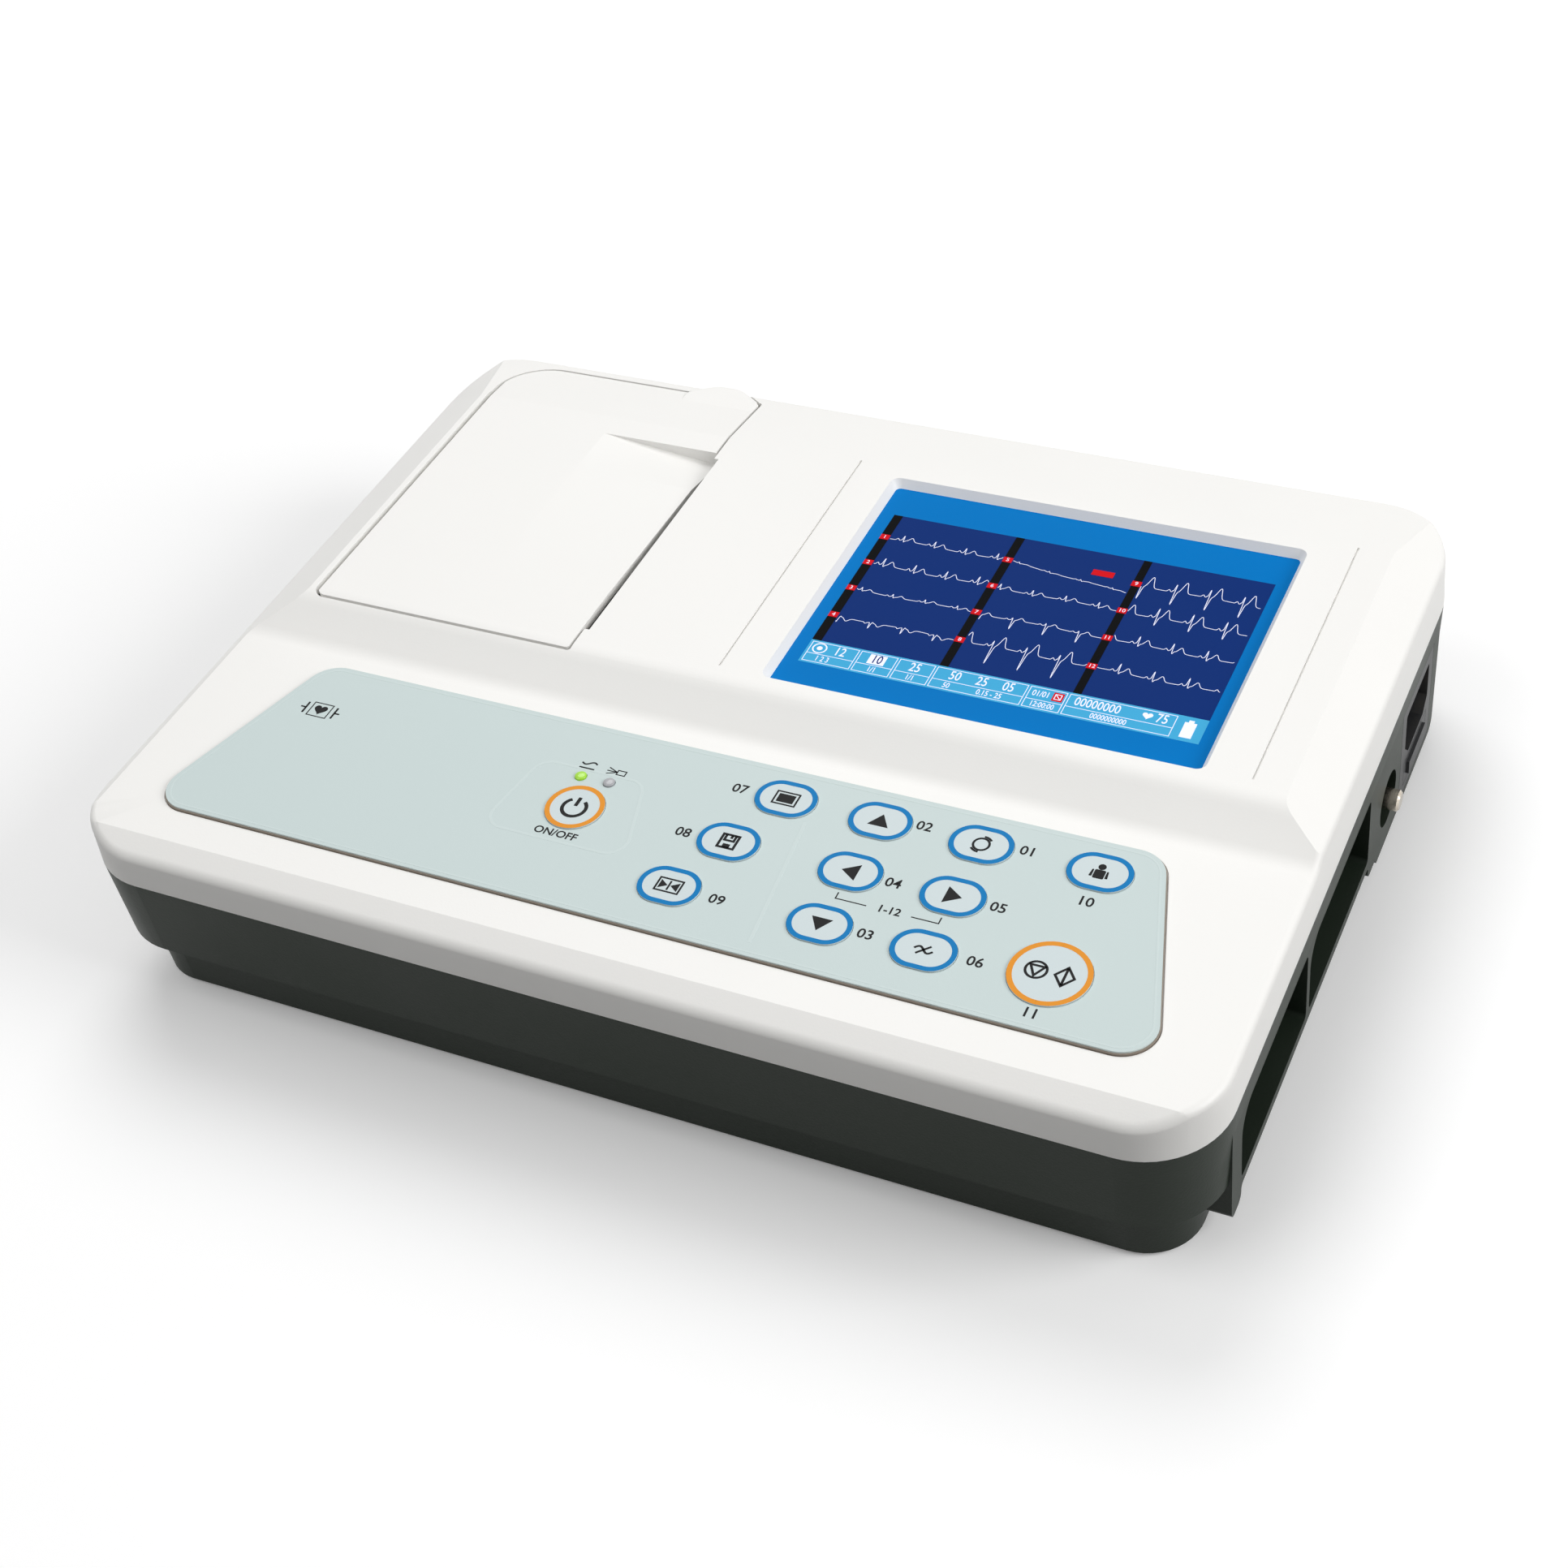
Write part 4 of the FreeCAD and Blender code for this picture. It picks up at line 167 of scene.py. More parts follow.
def stroke(path, width, low, closed=False):
    """A line of print: a flat rectangle, one layer thick, carried along a path.

    Each path point moves half the width to either side, along the line that halves the bend there.
    """
    path = np.asarray(path, float)
    if closed:
        before, after = np.roll(path, 1, 0), np.roll(path, -1, 0)
    else:
        before = np.vstack([2 * path[0] - path[1], path[:-1]])
        after = np.vstack([path[1:], 2 * path[-1] - path[-2]])
    sides = []
    for step in (path - before, after - path):
        step /= np.linalg.norm(step, axis=1, keepdims=True)
        sides.append(np.stack([-step[:, 1], step[:, 0]], 1))
    miter = sides[0] + sides[1]
    miter /= np.maximum((miter * sides[0]).sum(1, keepdims=True), LEAST_MITER)
    left, right = path + miter * width / 2, path - miter * width / 2
    section = [(left, low), (right, low), (right, low + INK), (left, low + INK)]
    ring = np.stack([np.column_stack([side, np.full(len(path), height)]) for side, height in section], 1)
    return carried(ring, closed)


def plate(outline, low):
    """A filled outline of print, one layer thick: the outline, turned anticlockwise, at two heights."""
    outline = np.asarray(outline, float)
    following = np.roll(outline, -1, 0)
    if (outline[:, 0] * following[:, 1] - outline[:, 1] * following[:, 0]).sum() < 0:
        outline = outline[::-1]
    count = len(outline)
    layers = [np.column_stack([outline, np.full(count, height)]) for height in (low, low + INK)]
    index = np.arange(count)
    ahead = np.roll(index, -1)
    sides = np.stack([index, ahead, ahead + count, index + count], 1).tolist()
    return np.vstack(layers), sides + [(index + count).tolist(), index[::-1].tolist()]


def lens(x, y, radius, low, rise, rings=7, count=36):
    """A lens: a quarter of an ellipse turned about an upright axis, closed by a flat below."""
    climb = np.linspace(0.0, math.pi / 2, rings + 1)[:-1]
    turn = np.linspace(0.0, TURN, count, endpoint=False)
    across = radius * np.cos(climb)[:, None]
    height = np.broadcast_to((low + rise * np.sin(climb))[:, None], (rings, count))
    grid = np.stack([x + across * np.cos(turn), y + across * np.sin(turn), height], -1)
    index = np.arange(rings * count).reshape(rings, count)
    ahead = np.roll(index, -1, 1)
    quads = np.stack([index[:-1], ahead[:-1], ahead[1:], index[1:]], -1).reshape(-1, 4).tolist()
    top = rings * count
    cap = np.stack([index[-1], ahead[-1], np.full(count, top)], 1).tolist()
    points = np.vstack([grid.reshape(-1, 3), [(x, y, low + rise)]])
    return points, quads + cap + [index[0][::-1].tolist()]


def coil(x, y, radius, wire, low, high, turns, steps=24, sides=10):
    """A coil spring: a round wire carried up a helix.

    The first parameter turns about the upright axis and climbs evenly, the second goes round the wire.
    """
    turn = np.linspace(0.0, TURN * turns, turns * steps + 1)[:, None]
    section = np.linspace(0.0, TURN, sides, endpoint=False)
    across = radius + wire * np.cos(section)
    climb = low + wire + (high - low - 2 * wire) * turn / turn[-1]
    height = climb + wire * np.sin(section)
    return carried(np.stack([x + across * np.cos(turn), y + across * np.sin(turn), height], -1))


def merged(mesh, gap):
    """A working copy of a mesh, with points that lie within a gap of each other made one."""
    work = bmesh.new()
    work.from_mesh(mesh)
    bmesh.ops.remove_doubles(work, verts=work.verts, dist=gap)
    return work


def shape_of(work):
    """The points and faces of a working copy, which ends here."""
    mesh = bpy.data.meshes.new("working_copy")
    work.to_mesh(mesh)
    work.free()
    points = np.empty(len(mesh.vertices) * 3)
    mesh.vertices.foreach_get("co", points)
    faces = [list(face.vertices) for face in mesh.polygons]
    bpy.data.meshes.remove(mesh)
    return points.reshape(-1, 3), faces


def lettering(words, x, y, size, low, weight=0.0, narrow=1.0):
    """Plain lettering about its middle, one layer thick.

    Weight thickens the strokes, and narrow squeezes the letters sideways.
    """
    curve = bpy.data.curves.new("lettering", "FONT")
    curve.body = words
    curve.size = size
    curve.offset = weight
    curve.align_x = "CENTER"
    curve.align_y = "CENTER"
    curve.resolution_u = 3
    curve.extrude = INK / 2
    holder = bpy.data.objects.new("lettering", curve)
    mesh = bpy.data.meshes.new_from_object(holder)
    points, faces = shape_of(merged(mesh, gap=1e-5))
    bpy.data.objects.remove(holder)
    bpy.data.curves.remove(curve)
    bpy.data.meshes.remove(mesh)
    return points * np.array([narrow, 1.0, 1.0]) + np.array([x, y, low + INK / 2]), faces


def piece(name, shapes, material, body="case", smooth=False):
    """Join shapes into one piece that rides on a body and takes the finish given to it."""
    points, faces, start = [], [], 0
    for shape_points, shape_faces in shapes:
        points.append(np.asarray(shape_points, float))
        faces += [[int(v) + start for v in face] for face in shape_faces]
        start += len(shape_points)
    mesh = bpy.data.meshes.new(name)
    mesh.from_pydata((np.vstack(points) * MM).tolist(), [], faces)
    mesh.polygons.foreach_set("use_smooth", [smooth] * len(mesh.polygons))
    mesh.materials.append(material)
    mesh.update()
    obj = bpy.data.objects.new(name, mesh)
    bpy.context.scene.collection.objects.link(obj)
    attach(obj, body)
    return obj


# Shared surface effects. Each is a group that gives a colour, a roughness and a height.


def grey(value):
    """A grey of linear light."""
    return (value, value, value, 1.0)


def link(tree, start, out_name, end, in_name):
    """Lead one node's output to another's input."""
    tree.links.new(start.outputs[out_name], end.inputs[in_name])


EFFECT_SOCKETS = [
    ("INPUT", "Color", "NodeSocketColor"),
    ("INPUT", "Fineness", "NodeSocketFloat"),
    ("INPUT", "Tone", "NodeSocketFloat"),
    ("INPUT", "Roughness", "NodeSocketFloat"),
    ("OUTPUT", "Color", "NodeSocketColor"),
    ("OUTPUT", "Roughness", "NodeSocketFloat"),
    ("OUTPUT", "Height", "NodeSocketFloat"),
]


def effect(name):
    """An empty effect: its tree, its inputs, its outputs and the place that its patterns are read at."""
    tree = bpy.data.node_groups.new(name, "ShaderNodeTree")
    for way, label, kind in EFFECT_SOCKETS:
        tree.interface.new_socket(name=label, in_out=way, socket_type=kind)
    kinds = ("NodeGroupInput", "NodeGroupOutput", "ShaderNodeTexCoord")
    return tree, *[tree.nodes.new(kind) for kind in kinds]


def sum_node(tree, operation, first=None, second=None, third=None):
    """One sum: each part is a number or a (node, output) pair."""
    node = tree.nodes.new("ShaderNodeMath")
    node.operation = operation
    for i, part in enumerate((first, second, third)):
        if isinstance(part, tuple):
            tree.links.new(part[0].outputs[part[1]], node.inputs[i])
        elif part is not None:
            node.inputs[i].default_value = part
    return node


def vector_node(tree, operation, start, output, second=None):
    """One sum on a vector that a node puts out, with a fixed second vector where it needs one."""
    node = tree.nodes.new("ShaderNodeVectorMath")
    node.operation = operation
    link(tree, start, output, node, 0)
    if second is not None:
        node.inputs[1].default_value = second
    return node


def noise(tree, place, output, scale=None, detail=3.0):
    """Noise read at a place; a scale that isn't given is led in later."""
    node = tree.nodes.new("ShaderNodeTexNoise")
    node.inputs["Detail"].default_value = detail
    if scale is not None:
        node.inputs["Scale"].default_value = scale
    link(tree, place, output, node, "Vector")
    return node


GLOSS_CHANGE = 0.18  # how far a pattern moves the roughness


def tinted(tree, inputs, outputs, pattern):
    """Move the colour and the roughness by a pattern that runs from 0 to 1."""
    centred = sum_node(tree, "SUBTRACT", pattern, 0.5)
    shift = sum_node(tree, "MULTIPLY_ADD", (centred, 0), (inputs, "Tone"), 1.0)
    tint = vector_node(tree, "SCALE", inputs, "Color")
    link(tree, shift, 0, tint, "Scale")
    rough = sum_node(tree, "MULTIPLY_ADD", (centred, 0), GLOSS_CHANGE, (inputs, "Roughness"))
    link(tree, tint, 0, outputs, "Color")
    link(tree, rough, 0, outputs, "Roughness")


CLOUD_SCALE, CLOUD_DETAIL = 28.0, 4.0


def make_grain():
    """Moulded grain: fine noise for the height, slow clouds for tone and gloss."""
    tree, inputs, outputs, place = effect("moulded_grain")
    fine = noise(tree, place, "Object")
    link(tree, inputs, "Fineness", fine, "Scale")
    clouds = noise(tree, place, "Object", CLOUD_SCALE, CLOUD_DETAIL)
    tinted(tree, inputs, outputs, (clouds, "Fac"))
    link(tree, fine, "Fac", outputs, "Height")
    return tree


DRAWN_OUT = (1.0, 0.03, 1.0)  # the streaks run along Y


def make_brushed():
    """Brushed metal: noise drawn out along one way into fine streaks."""
    tree, inputs, outputs, place = effect("brushed_metal")
    drawn = vector_node(tree, "MULTIPLY", place, "Object", DRAWN_OUT)
    streaks = noise(tree, drawn, 0)
    link(tree, inputs, "Fineness", streaks, "Scale")
    tinted(tree, inputs, outputs, (streaks, "Fac"))
    link(tree, streaks, "Fac", outputs, "Height")
    return tree


TRACK_ROWS = {
    "Mortar Size": 0.06,
    "Brick Width": 2.4,
    "Color1": grey(0.45),
    "Color2": grey(0.6),
    "Mortar": grey(1.0),
}


def make_board():
    """Circuit board: rows of raised tracks under the green lacquer."""
    tree, inputs, outputs, place = effect("board_tracks")
    rows = tree.nodes.new("ShaderNodeTexBrick")
    for name, value in TRACK_ROWS.items():
        rows.inputs[name].default_value = value
    link(tree, place, "Object", rows, "Vector")
    link(tree, inputs, "Fineness", rows, "Scale")
    tinted(tree, inputs, outputs, (rows, "Color"))
    link(tree, rows, "Fac", outputs, "Height")
    return tree


RING_STEP = 0.0006  # from one ring to the next
OFF_AXIS = (1.0, 0.0, 1.0)  # the roll's axis lies along Y


def make_wound(centre):
    """Wound paper: rings from a sine of the distance to the roll's axis, over a fine fibre."""
    tree, inputs, outputs, place = effect("wound_paper")
    shifted = vector_node(tree, "SUBTRACT", place, "Object", centre)
    flat = vector_node(tree, "MULTIPLY", shifted, 0, OFF_AXIS)
    far = vector_node(tree, "LENGTH", flat, 0)
    angle = sum_node(tree, "MULTIPLY", (far, "Value"), TURN / RING_STEP)
    wave = sum_node(tree, "SINE", (angle, 0))
    rings = sum_node(tree, "MULTIPLY_ADD", (wave, 0), 0.5, 0.5)
    fibre = noise(tree, place, "Object", detail=5.0)
    link(tree, inputs, "Fineness", fibre, "Scale")
    both = sum_node(tree, "MULTIPLY", (rings, 0), (fibre, "Fac"))
    tinted(tree, inputs, outputs, (both, 0))
    link(tree, fibre, "Fac", outputs, "Height")
    return tree


GRAIN = make_grain()
BRUSHED = make_brushed()
TRACKS = make_board()
WOUND = make_wound(np.mean(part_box("paper_roll"), axis=0).tolist())


BUMP_HEIGHT = 0.0004
COAT_ROUGHNESS = 0.08


def finish(
    name, color, roughness, fineness, tone, bump,
    metallic=0.0, coat=0.0, glow=0.0, specular=0.5, effect_group=GRAIN,
):
    """A procedural finish: one of the shared effects round one shader."""
    material = bpy.data.materials.new(name)
    material.use_nodes = True
    tree = material.node_tree
    shader = tree.nodes["Principled BSDF"]
    surface = tree.nodes.new("ShaderNodeGroup")
    surface.node_tree = effect_group
    surface.inputs["Color"].default_value = (*color, 1.0)
    surface.inputs["Fineness"].default_value = fineness
    surface.inputs["Tone"].default_value = tone
    surface.inputs["Roughness"].default_value = roughness
    link(tree, surface, "Color", shader, "Base Color")
    link(tree, surface, "Roughness", shader, "Roughness")
    raised = tree.nodes.new("ShaderNodeBump")
    raised.inputs["Strength"].default_value = bump
    raised.inputs["Distance"].default_value = BUMP_HEIGHT
    link(tree, surface, "Height", raised, "Height")
    link(tree, raised, "Normal", shader, "Normal")
    shader.inputs["Metallic"].default_value = metallic
    shader.inputs["Specular IOR Level"].default_value = specular
    shader.inputs["Coat Weight"].default_value = coat
    shader.inputs["Coat Roughness"].default_value = COAT_ROUGHNESS
    if glow:
        link(tree, surface, "Color", shader, "Emission Color")
        shader.inputs["Emission Strength"].default_value = glow
    material.diffuse_color = (*color, 1.0)
    return material


def shade(red, green, blue):
    """A colour written as screen values from 0 to 255, as linear light."""
    value = np.array([red, green, blue]) / 255.0
    return tuple(np.where(value <= 0.04045, value / 12.92, ((value + 0.055) / 1.055) ** 2.4))


def metal(name, color, roughness):
    """A brushed metal."""
    return finish(name, color, roughness, 3000, 0.16, 0.03, metallic=1.0, effect_group=BRUSHED)


def matt_sheet_colour(name, color):
    """A matt colour on the keypad sheet or on a key: an ink, or the pale lines of painted highlight."""
    return finish(name, color, 0.55, 3200, 0.05, 0.02, specular=0.15)


def lit(name, color, glow=0.12):
    """A colour of the lit screen."""
    return finish(name, color, 0.36, 3000, 0.03, 0.004, glow=glow, specular=0.02)


SHELL = finish("warm_white_shell", shade(246, 245, 242), 0.46, 1800, 0.03, 0.05)
BASE = finish("grey_green_case", shade(31, 39, 31), 0.44, 1500, 0.14, 0.09, specular=0.17)
RUBBER = finish("black_rubber", shade(28, 28, 28), 0.8, 900, 0.15, 0.10)
STEEL = metal("bright_steel", shade(190, 190, 192), 0.28)
NICKEL = metal("nickel_pin", shade(205, 196, 182), 0.2)
BRASS = metal("brass", shade(206, 170, 96), 0.3)
ALUMINIUM = metal("milled_aluminium", shade(205, 206, 208), 0.35)
CERAMIC = finish("glazed_ceramic", shade(228, 224, 212), 0.25, 2000, 0.05, 0.01, coat=0.4)
WINDOW = lit("blue_screen_border", shade(0, 114, 188))
LCD = finish("display_panel", shade(20, 24, 40), 0.4, 2500, 0.05, 0.01)
OVERLAY = finish("pale_keypad_print", shade(203, 217, 216), 0.5, 3200, 0.03, 0.04, specular=0.35)
BACKING = finish("taupe_backing", shade(150, 138, 126), 0.6, 2200, 0.08, 0.05)
KEY_FACE = finish("key_print", shade(209, 221, 223), 0.5, 3200, 0.03, 0.04, specular=0.35)
BLUE_INK = matt_sheet_colour("blue_ring_ink", shade(4, 124, 190))
ORANGE_INK = matt_sheet_colour("orange_ring_ink", shade(234, 152, 48))
BLACK_INK = matt_sheet_colour("black_ink", shade(12, 13, 14))
# Pale lines on the sheet: along its border and round the power key they are painted highlight on raised edges
PALE_LINE_AND_HIGHLIGHT = matt_sheet_colour("pale_line_and_painted_highlight", shade(211, 224, 223))
GREEN_LAMP = finish("green_lamp", shade(150, 205, 20), 0.25, 2000, 0.05, 0.01, coat=0.5, glow=0.2)
GREY_LAMP = finish("grey_lamp", shade(168, 169, 173), 0.3, 2000, 0.05, 0.01, coat=0.5)
GEAR = finish("white_gear_plastic", shade(232, 230, 222), 0.4, 2200, 0.05, 0.02)
PAPER = finish("wound_paper", shade(242, 240, 234), 0.7, 3500, 0.12, 0.05, effect_group=WOUND)
BOARD = finish("green_board", shade(24, 84, 48), 0.4, 320, 0.7, 0.1, coat=0.3, effect_group=TRACKS)
BLACK = finish("black_moulding", shade(30, 31, 33), 0.45, 1800, 0.12, 0.06)
FUSE_GLASS = finish("fuse_glass", shade(206, 212, 214), 0.15, 2500, 0.04, 0.01, coat=0.6)
NAVY = lit("navy_field", shade(13, 46, 112))
BAR = lit("status_bar_blue", shade(68, 168, 214))
SCREEN_BLACK = lit("screen_black", shade(3, 4, 6), 0.0)
TRACE = lit("trace_white", shade(226, 228, 246), 0.3)
TAG = lit("red_tag", shade(202, 18, 28), 0.2)

NODE_FINISH = {
    SHELL: ["top_case", "paper_lid"],
    BASE: ["bottom_case", "battery_cover"],
    RUBBER: ["feet", "platen_roller"],
    STEEL: [
        "case_screws", "board_screws", "lid_hinge_pins", "platen_shaft", "head_pivot_pin", "head_springs",
        "idler_pin", "printer_chassis", "lcd_frame", "key_domes", "patient_socket", "serial_socket",
        "usb_socket", "jack_posts", "drive_motor",
    ],
    NICKEL: ["earth_pin", "earth_nut"],
    BRASS: ["inlet_pins", "platen_bushes"],
    ALUMINIUM: ["head_plate"],
    CERAMIC: ["print_head"],
    WINDOW: ["display_window"],
    LCD: ["lcd_panel"],
    OVERLAY: ["keypad_overlay"],
    BACKING: ["keypad_backing"],
    KEY_FACE: KEY_NODES,
    GREEN_LAMP: ["led_mains"],
    GREY_LAMP: ["led_battery"],
    GEAR: ["platen_gear", "idler_gear", "motor_pinion", "paper_spindle"],
    PAPER: ["paper_roll"],
    BOARD: ["keypad_board", "main_board", "power_board"],
    BLACK: ["board_parts", "battery_pack", "buzzer", "mains_inlet", "fuse_drawer", "socket_inserts"],
    FUSE_GLASS: ["fuses"],
}
for material, names in NODE_FINISH.items():
    for name in names:
        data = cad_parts[name].data
        data.materials.clear()
        data.materials.append(material)


# Top case: its front edge is cut to a slope above the upright band

SLOPE_RUN, SLOPE_FALL = 7.2, 3.8
BAND_HEIGHT = 13.2
SHARP_EDGE = math.radians(20.0)  # a bend past this stays crisp


def sloped_front():
    """A copy of the top case with a sloped front edge.

    Ahead of the line where the slope starts, a point falls in proportion to its distance from that line. The
    fall is whole at the deck and fades to nothing at the foot of the band.
    """
    work = merged(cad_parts["top_case"].data, gap=1e-6)
    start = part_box("top_case")[0][1] + SLOPE_RUN * MM
    whole = work.verts[:] + work.edges[:] + work.faces[:]
    bmesh.ops.bisect_plane(work, geom=whole, plane_co=(0.0, start, 0.0), plane_no=(0.0, 1.0, 0.0), dist=1e-7)
    points, faces = shape_of(work)
    points /= MM
    ahead = np.clip(start / MM - points[:, 1], 0.0, None)
    deck = top_of("keypad_overlay")
    share = np.clip((points[:, 2] - deck) / BAND_HEIGHT + 1.0, 0.0, 1.0)
    points[:, 2] -= SLOPE_FALL / SLOPE_RUN * ahead * share
    return points, faces


top_shell = piece("top_shell", [sloped_front()], SHELL, smooth=True)
top_shell.data.set_sharp_from_angle(angle=SHARP_EDGE)
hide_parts("top_case")


# Head springs: two coils of round wire in place of the springs

SPRING_WIRE, SPRING_TURNS = 0.4, 4
spring_low, spring_high = np.array(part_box("head_springs")) / MM
spring_across = (spring_high[0] - spring_low[0]) / 2
spring_x = (spring_low[0] + spring_high[0]) / 2
springs = [
    coil(spring_x, y, spring_across - SPRING_WIRE, SPRING_WIRE, spring_low[2], spring_high[2], SPRING_TURNS)
    for y in (spring_low[1] + spring_across, spring_high[1] - spring_across)
]
head_springs = piece("head_spring_coils", springs, STEEL, smooth=True)
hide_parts("head_springs")
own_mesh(head_springs)


# Keys: a ring and a symbol on each, about the key's middle

KEY_TOP = top_of("key_menu")
KEY_RIM = 1.0  # what the sheet hides of a key, both edges together
RING_WIDTH = 1.35
ROUND_KEYS = ("key_run", "key_power")
ARROW = np.array([(-2.8, -1.95), (2.8, -1.95), (0.0, 2.35)])
ARM = rounded([(2.4, -1.9), (1.65, -1.9), (1.65, 0.6), (2.1, 0.5)], 0.2)
SYMBOLS = {
    "key_up": {"filled": [ARROW]},
    "key_left": {"filled": [turned(ARROW, 90)]},
    "key_down": {"filled": [turned(ARROW, 180)]},
    "key_right": {"filled": [turned(ARROW, 270)]},
    "key_menu": {
        "closed": [around(0, 0, 3.1, 2.2)],
        "filled": [around(0, 0, 2.3, 1.5)],
    },
    "key_file": {
        "width": 0.7,
        "closed": [around(0, 0, 2.2, 2.3)],
        "opened": [[(-1.3, 2.3), (-1.3, 0.3), (1.3, 0.3), (1.3, 2.3)], [(0.3, 2.3), (0.3, 1.1)]],
        "filled": [rectangle(-1.0, 1.0, -2.3, -0.9)],
    },
    "key_freeze": {
        "width": 0.5,
        "closed": [around(0, 0, 3.2, 2.15)],
        "opened": [[(0.0, -1.6), (0.0, 1.6)]],
        "filled": [[(-2.6, -1.5), (-0.4, 0.0), (-2.6, 1.5)], [(2.6, -1.5), (2.6, 1.5), (0.4, 0.0)]],
    },
    "key_mode": {
        "width": 0.6,
        "closed": [circle(0, 0, 2.05, 40)],
        "opened": [circle(0, 0, 2.7, 14, 0.7, 1.6), circle(0, 0, 2.7, 14, 3.84, 4.74)],
    },
    "key_patient": {
        "filled": [
            circle(0, 1.75, 1.0, 24),
            rounded(rectangle(-1.4, 1.4, -2.3, 0.7), 0.4),
            ARM * (-1, 1),
            ARM,
        ],
    },
    "key_filter": {
        "width": 0.6,
        "opened": [one_wave(2.4, -0.9, 28), [(-1.5, -1.5), (1.5, 1.5)]],
    },
    "key_power": {
        "width": 1.0,
        "opened": [
            circle(0, -0.35, 3.2, 40, math.radians(125), math.radians(415)),
            [(0, 0.3), (0, 3.5)],
        ],
    },
    "key_run": {
        "width": 0.65,
        "closed": [
            circle(-3.4, 0.1, 2.6, 40),
            [(-5.2, 1.4), (-3.4, -1.8), (-1.6, 1.4)],
            [(3.7, -3.0), (6.1, 0.0), (3.7, 3.0), (1.3, 0.0)],
        ],
        "opened": [[(3.7, -2.8), (3.7, 2.8)]],
    },
}


def symbol(middle, width=0.48, closed=(), opened=(), filled=()):
    """A key's symbol: closed strokes, open strokes and filled outlines about its middle."""
    shapes = [stroke(np.asarray(path) + middle, width, KEY_TOP, closed=True) for path in closed]
    shapes += [stroke(np.asarray(path) + middle, width, KEY_TOP) for path in opened]
    shapes += [plate(np.asarray(outline) + middle, KEY_TOP) for outline in filled]
    return shapes


for node in KEY_NODES:
    middle = middle_of(node)
    width, depth = size_of(node) - KEY_RIM - RING_WIDTH
    ring = stroke(oval(*middle, width, depth), RING_WIDTH, KEY_TOP, closed=True)
    ring_ink, key_slot = (ORANGE_INK, "orange_key") if node in ROUND_KEYS else (BLUE_INK, "key_face")
    piece(f"{node}_ring", [ring], ring_ink, f"{node}_body")
    piece(f"{node}_symbol", symbol(middle, **SYMBOLS[node]), BLACK_INK, f"{node}_body")


# Lamps: a domed lens on each

LENS_RISE = 0.45
LAMPS = [("led_mains", GREEN_LAMP, "green_lamp"), ("led_battery", GREY_LAMP, "grey_lamp")]
for node, material, slot in LAMPS:
    dome = lens(*middle_of(node), size_of(node)[0] / 2, top_of(node), LENS_RISE)
    piece(f"{node}_lens", [dome], material, smooth=True)


# Keypad sheet: pale lines, mostly painted highlight, numbers and signs

SHEET_TOP = top_of("keypad_overlay")
# The border line and the frame round the power key are painted highlight, standing for light on raised edges;
# the divider is a pale line
SHEET_BORDER = rounded([(-138.85, -95.6), (138.85, -95.6), (120.6, -35.0), (-120.6, -35.0)], 7.4, 10)
POWER_FRAME = rounded([(-48.0, -76.5), (-6.0, -76.5), (-13.6, -50.0), (-44.0, -50.0)], 5.0)
KEY_DIVIDER = [(32.4, -50.5), (36.6, -92.8)]
pale = [
    stroke(KEY_DIVIDER, 0.9, SHEET_TOP),
    stroke(SHEET_BORDER, 0.5, SHEET_TOP, closed=True),
    stroke(POWER_FRAME, 0.8, SHEET_TOP, closed=True),
]
piece("keypad_pale_lines_and_highlights", pale, PALE_LINE_AND_HIGHLIGHT)

NUMBER_SIZE, WORD_SIZE, CAPTION_WEIGHT = 4.3, 3.4, 0.06
CAPTIONS = {
    NUMBER_SIZE: [
        ("02", 61.6, -42.6), ("01", 89.2, -42.9), ("04", 61.9, -63.4), ("05", 89.2, -63.1),
        ("03", 62.2, -81.4), ("06", 90.4, -81.4), ("07", 11.2, -44.4), ("08", 4.2, -63.4),
        ("09", 22.8, -82.3), ("10", 108.2, -54.6), ("11", 108.2, -92.2),
    ],
    WORD_SIZE: [("ON/OFF", -27.2, -74.0), ("1-12", 64.5, -72.3)],
}
LINE = 0.32
BOLD_LINE = 1.5 * LINE
ARROW_BRACKETS = [
    [(50.4, -70.4), (50.4, -72.5), (58.6, -72.5)],
    [(70.4, -72.5), (77.5, -72.5), (77.5, -70.4)],
]
HEART_SIGN = (-113.4, -51.4)


def mains_sign(x, y):
    """The sign above the mains lamp: one sine wave over a bar."""
    wave = one_wave(2.2, 0.55, 24) + np.array([x, y + 5.2])
    bar = [(x - 2.2, y + 3.3), (x + 2.2, y + 3.3)]
    return [stroke(path, BOLD_LINE, SHEET_TOP) for path in (wave, bar)]


def plug_sign(x, y):
    """The sign above the battery lamp: a small box with three lines that run into it."""
    y = y + 4.3
    joint = (x + 0.2, y)
    box = stroke(rectangle(x + 0.2, x + 2.6, y - 0.8, y + 0.8), LINE, SHEET_TOP, closed=True)
    ends = [(x - 2.6, y - 1.2), (x - 2.6, y + 1.2), (x - 2.8, y)]
    return [box] + [stroke([end, joint], LINE, SHEET_TOP) for end in ends]


def heart_sign(x, y):
    """The sign for parts that touch a patient: a heart in a box between two upright pads."""
    shapes = [
        stroke(around(x, y, 3.0, 2.6), LINE, SHEET_TOP, closed=True),
        plate(heart(x, y + 0.2, 2.0), SHEET_TOP),
    ]
    for way in (-1, 1):
        pad_x = x + way * 4.6
        shapes.append(stroke([(pad_x, y - 2.2), (pad_x, y + 2.2)], 0.6, SHEET_TOP))
        shapes.append(stroke([(pad_x, y), (pad_x + way * 1.6, y)], 0.5, SHEET_TOP))
    return shapes


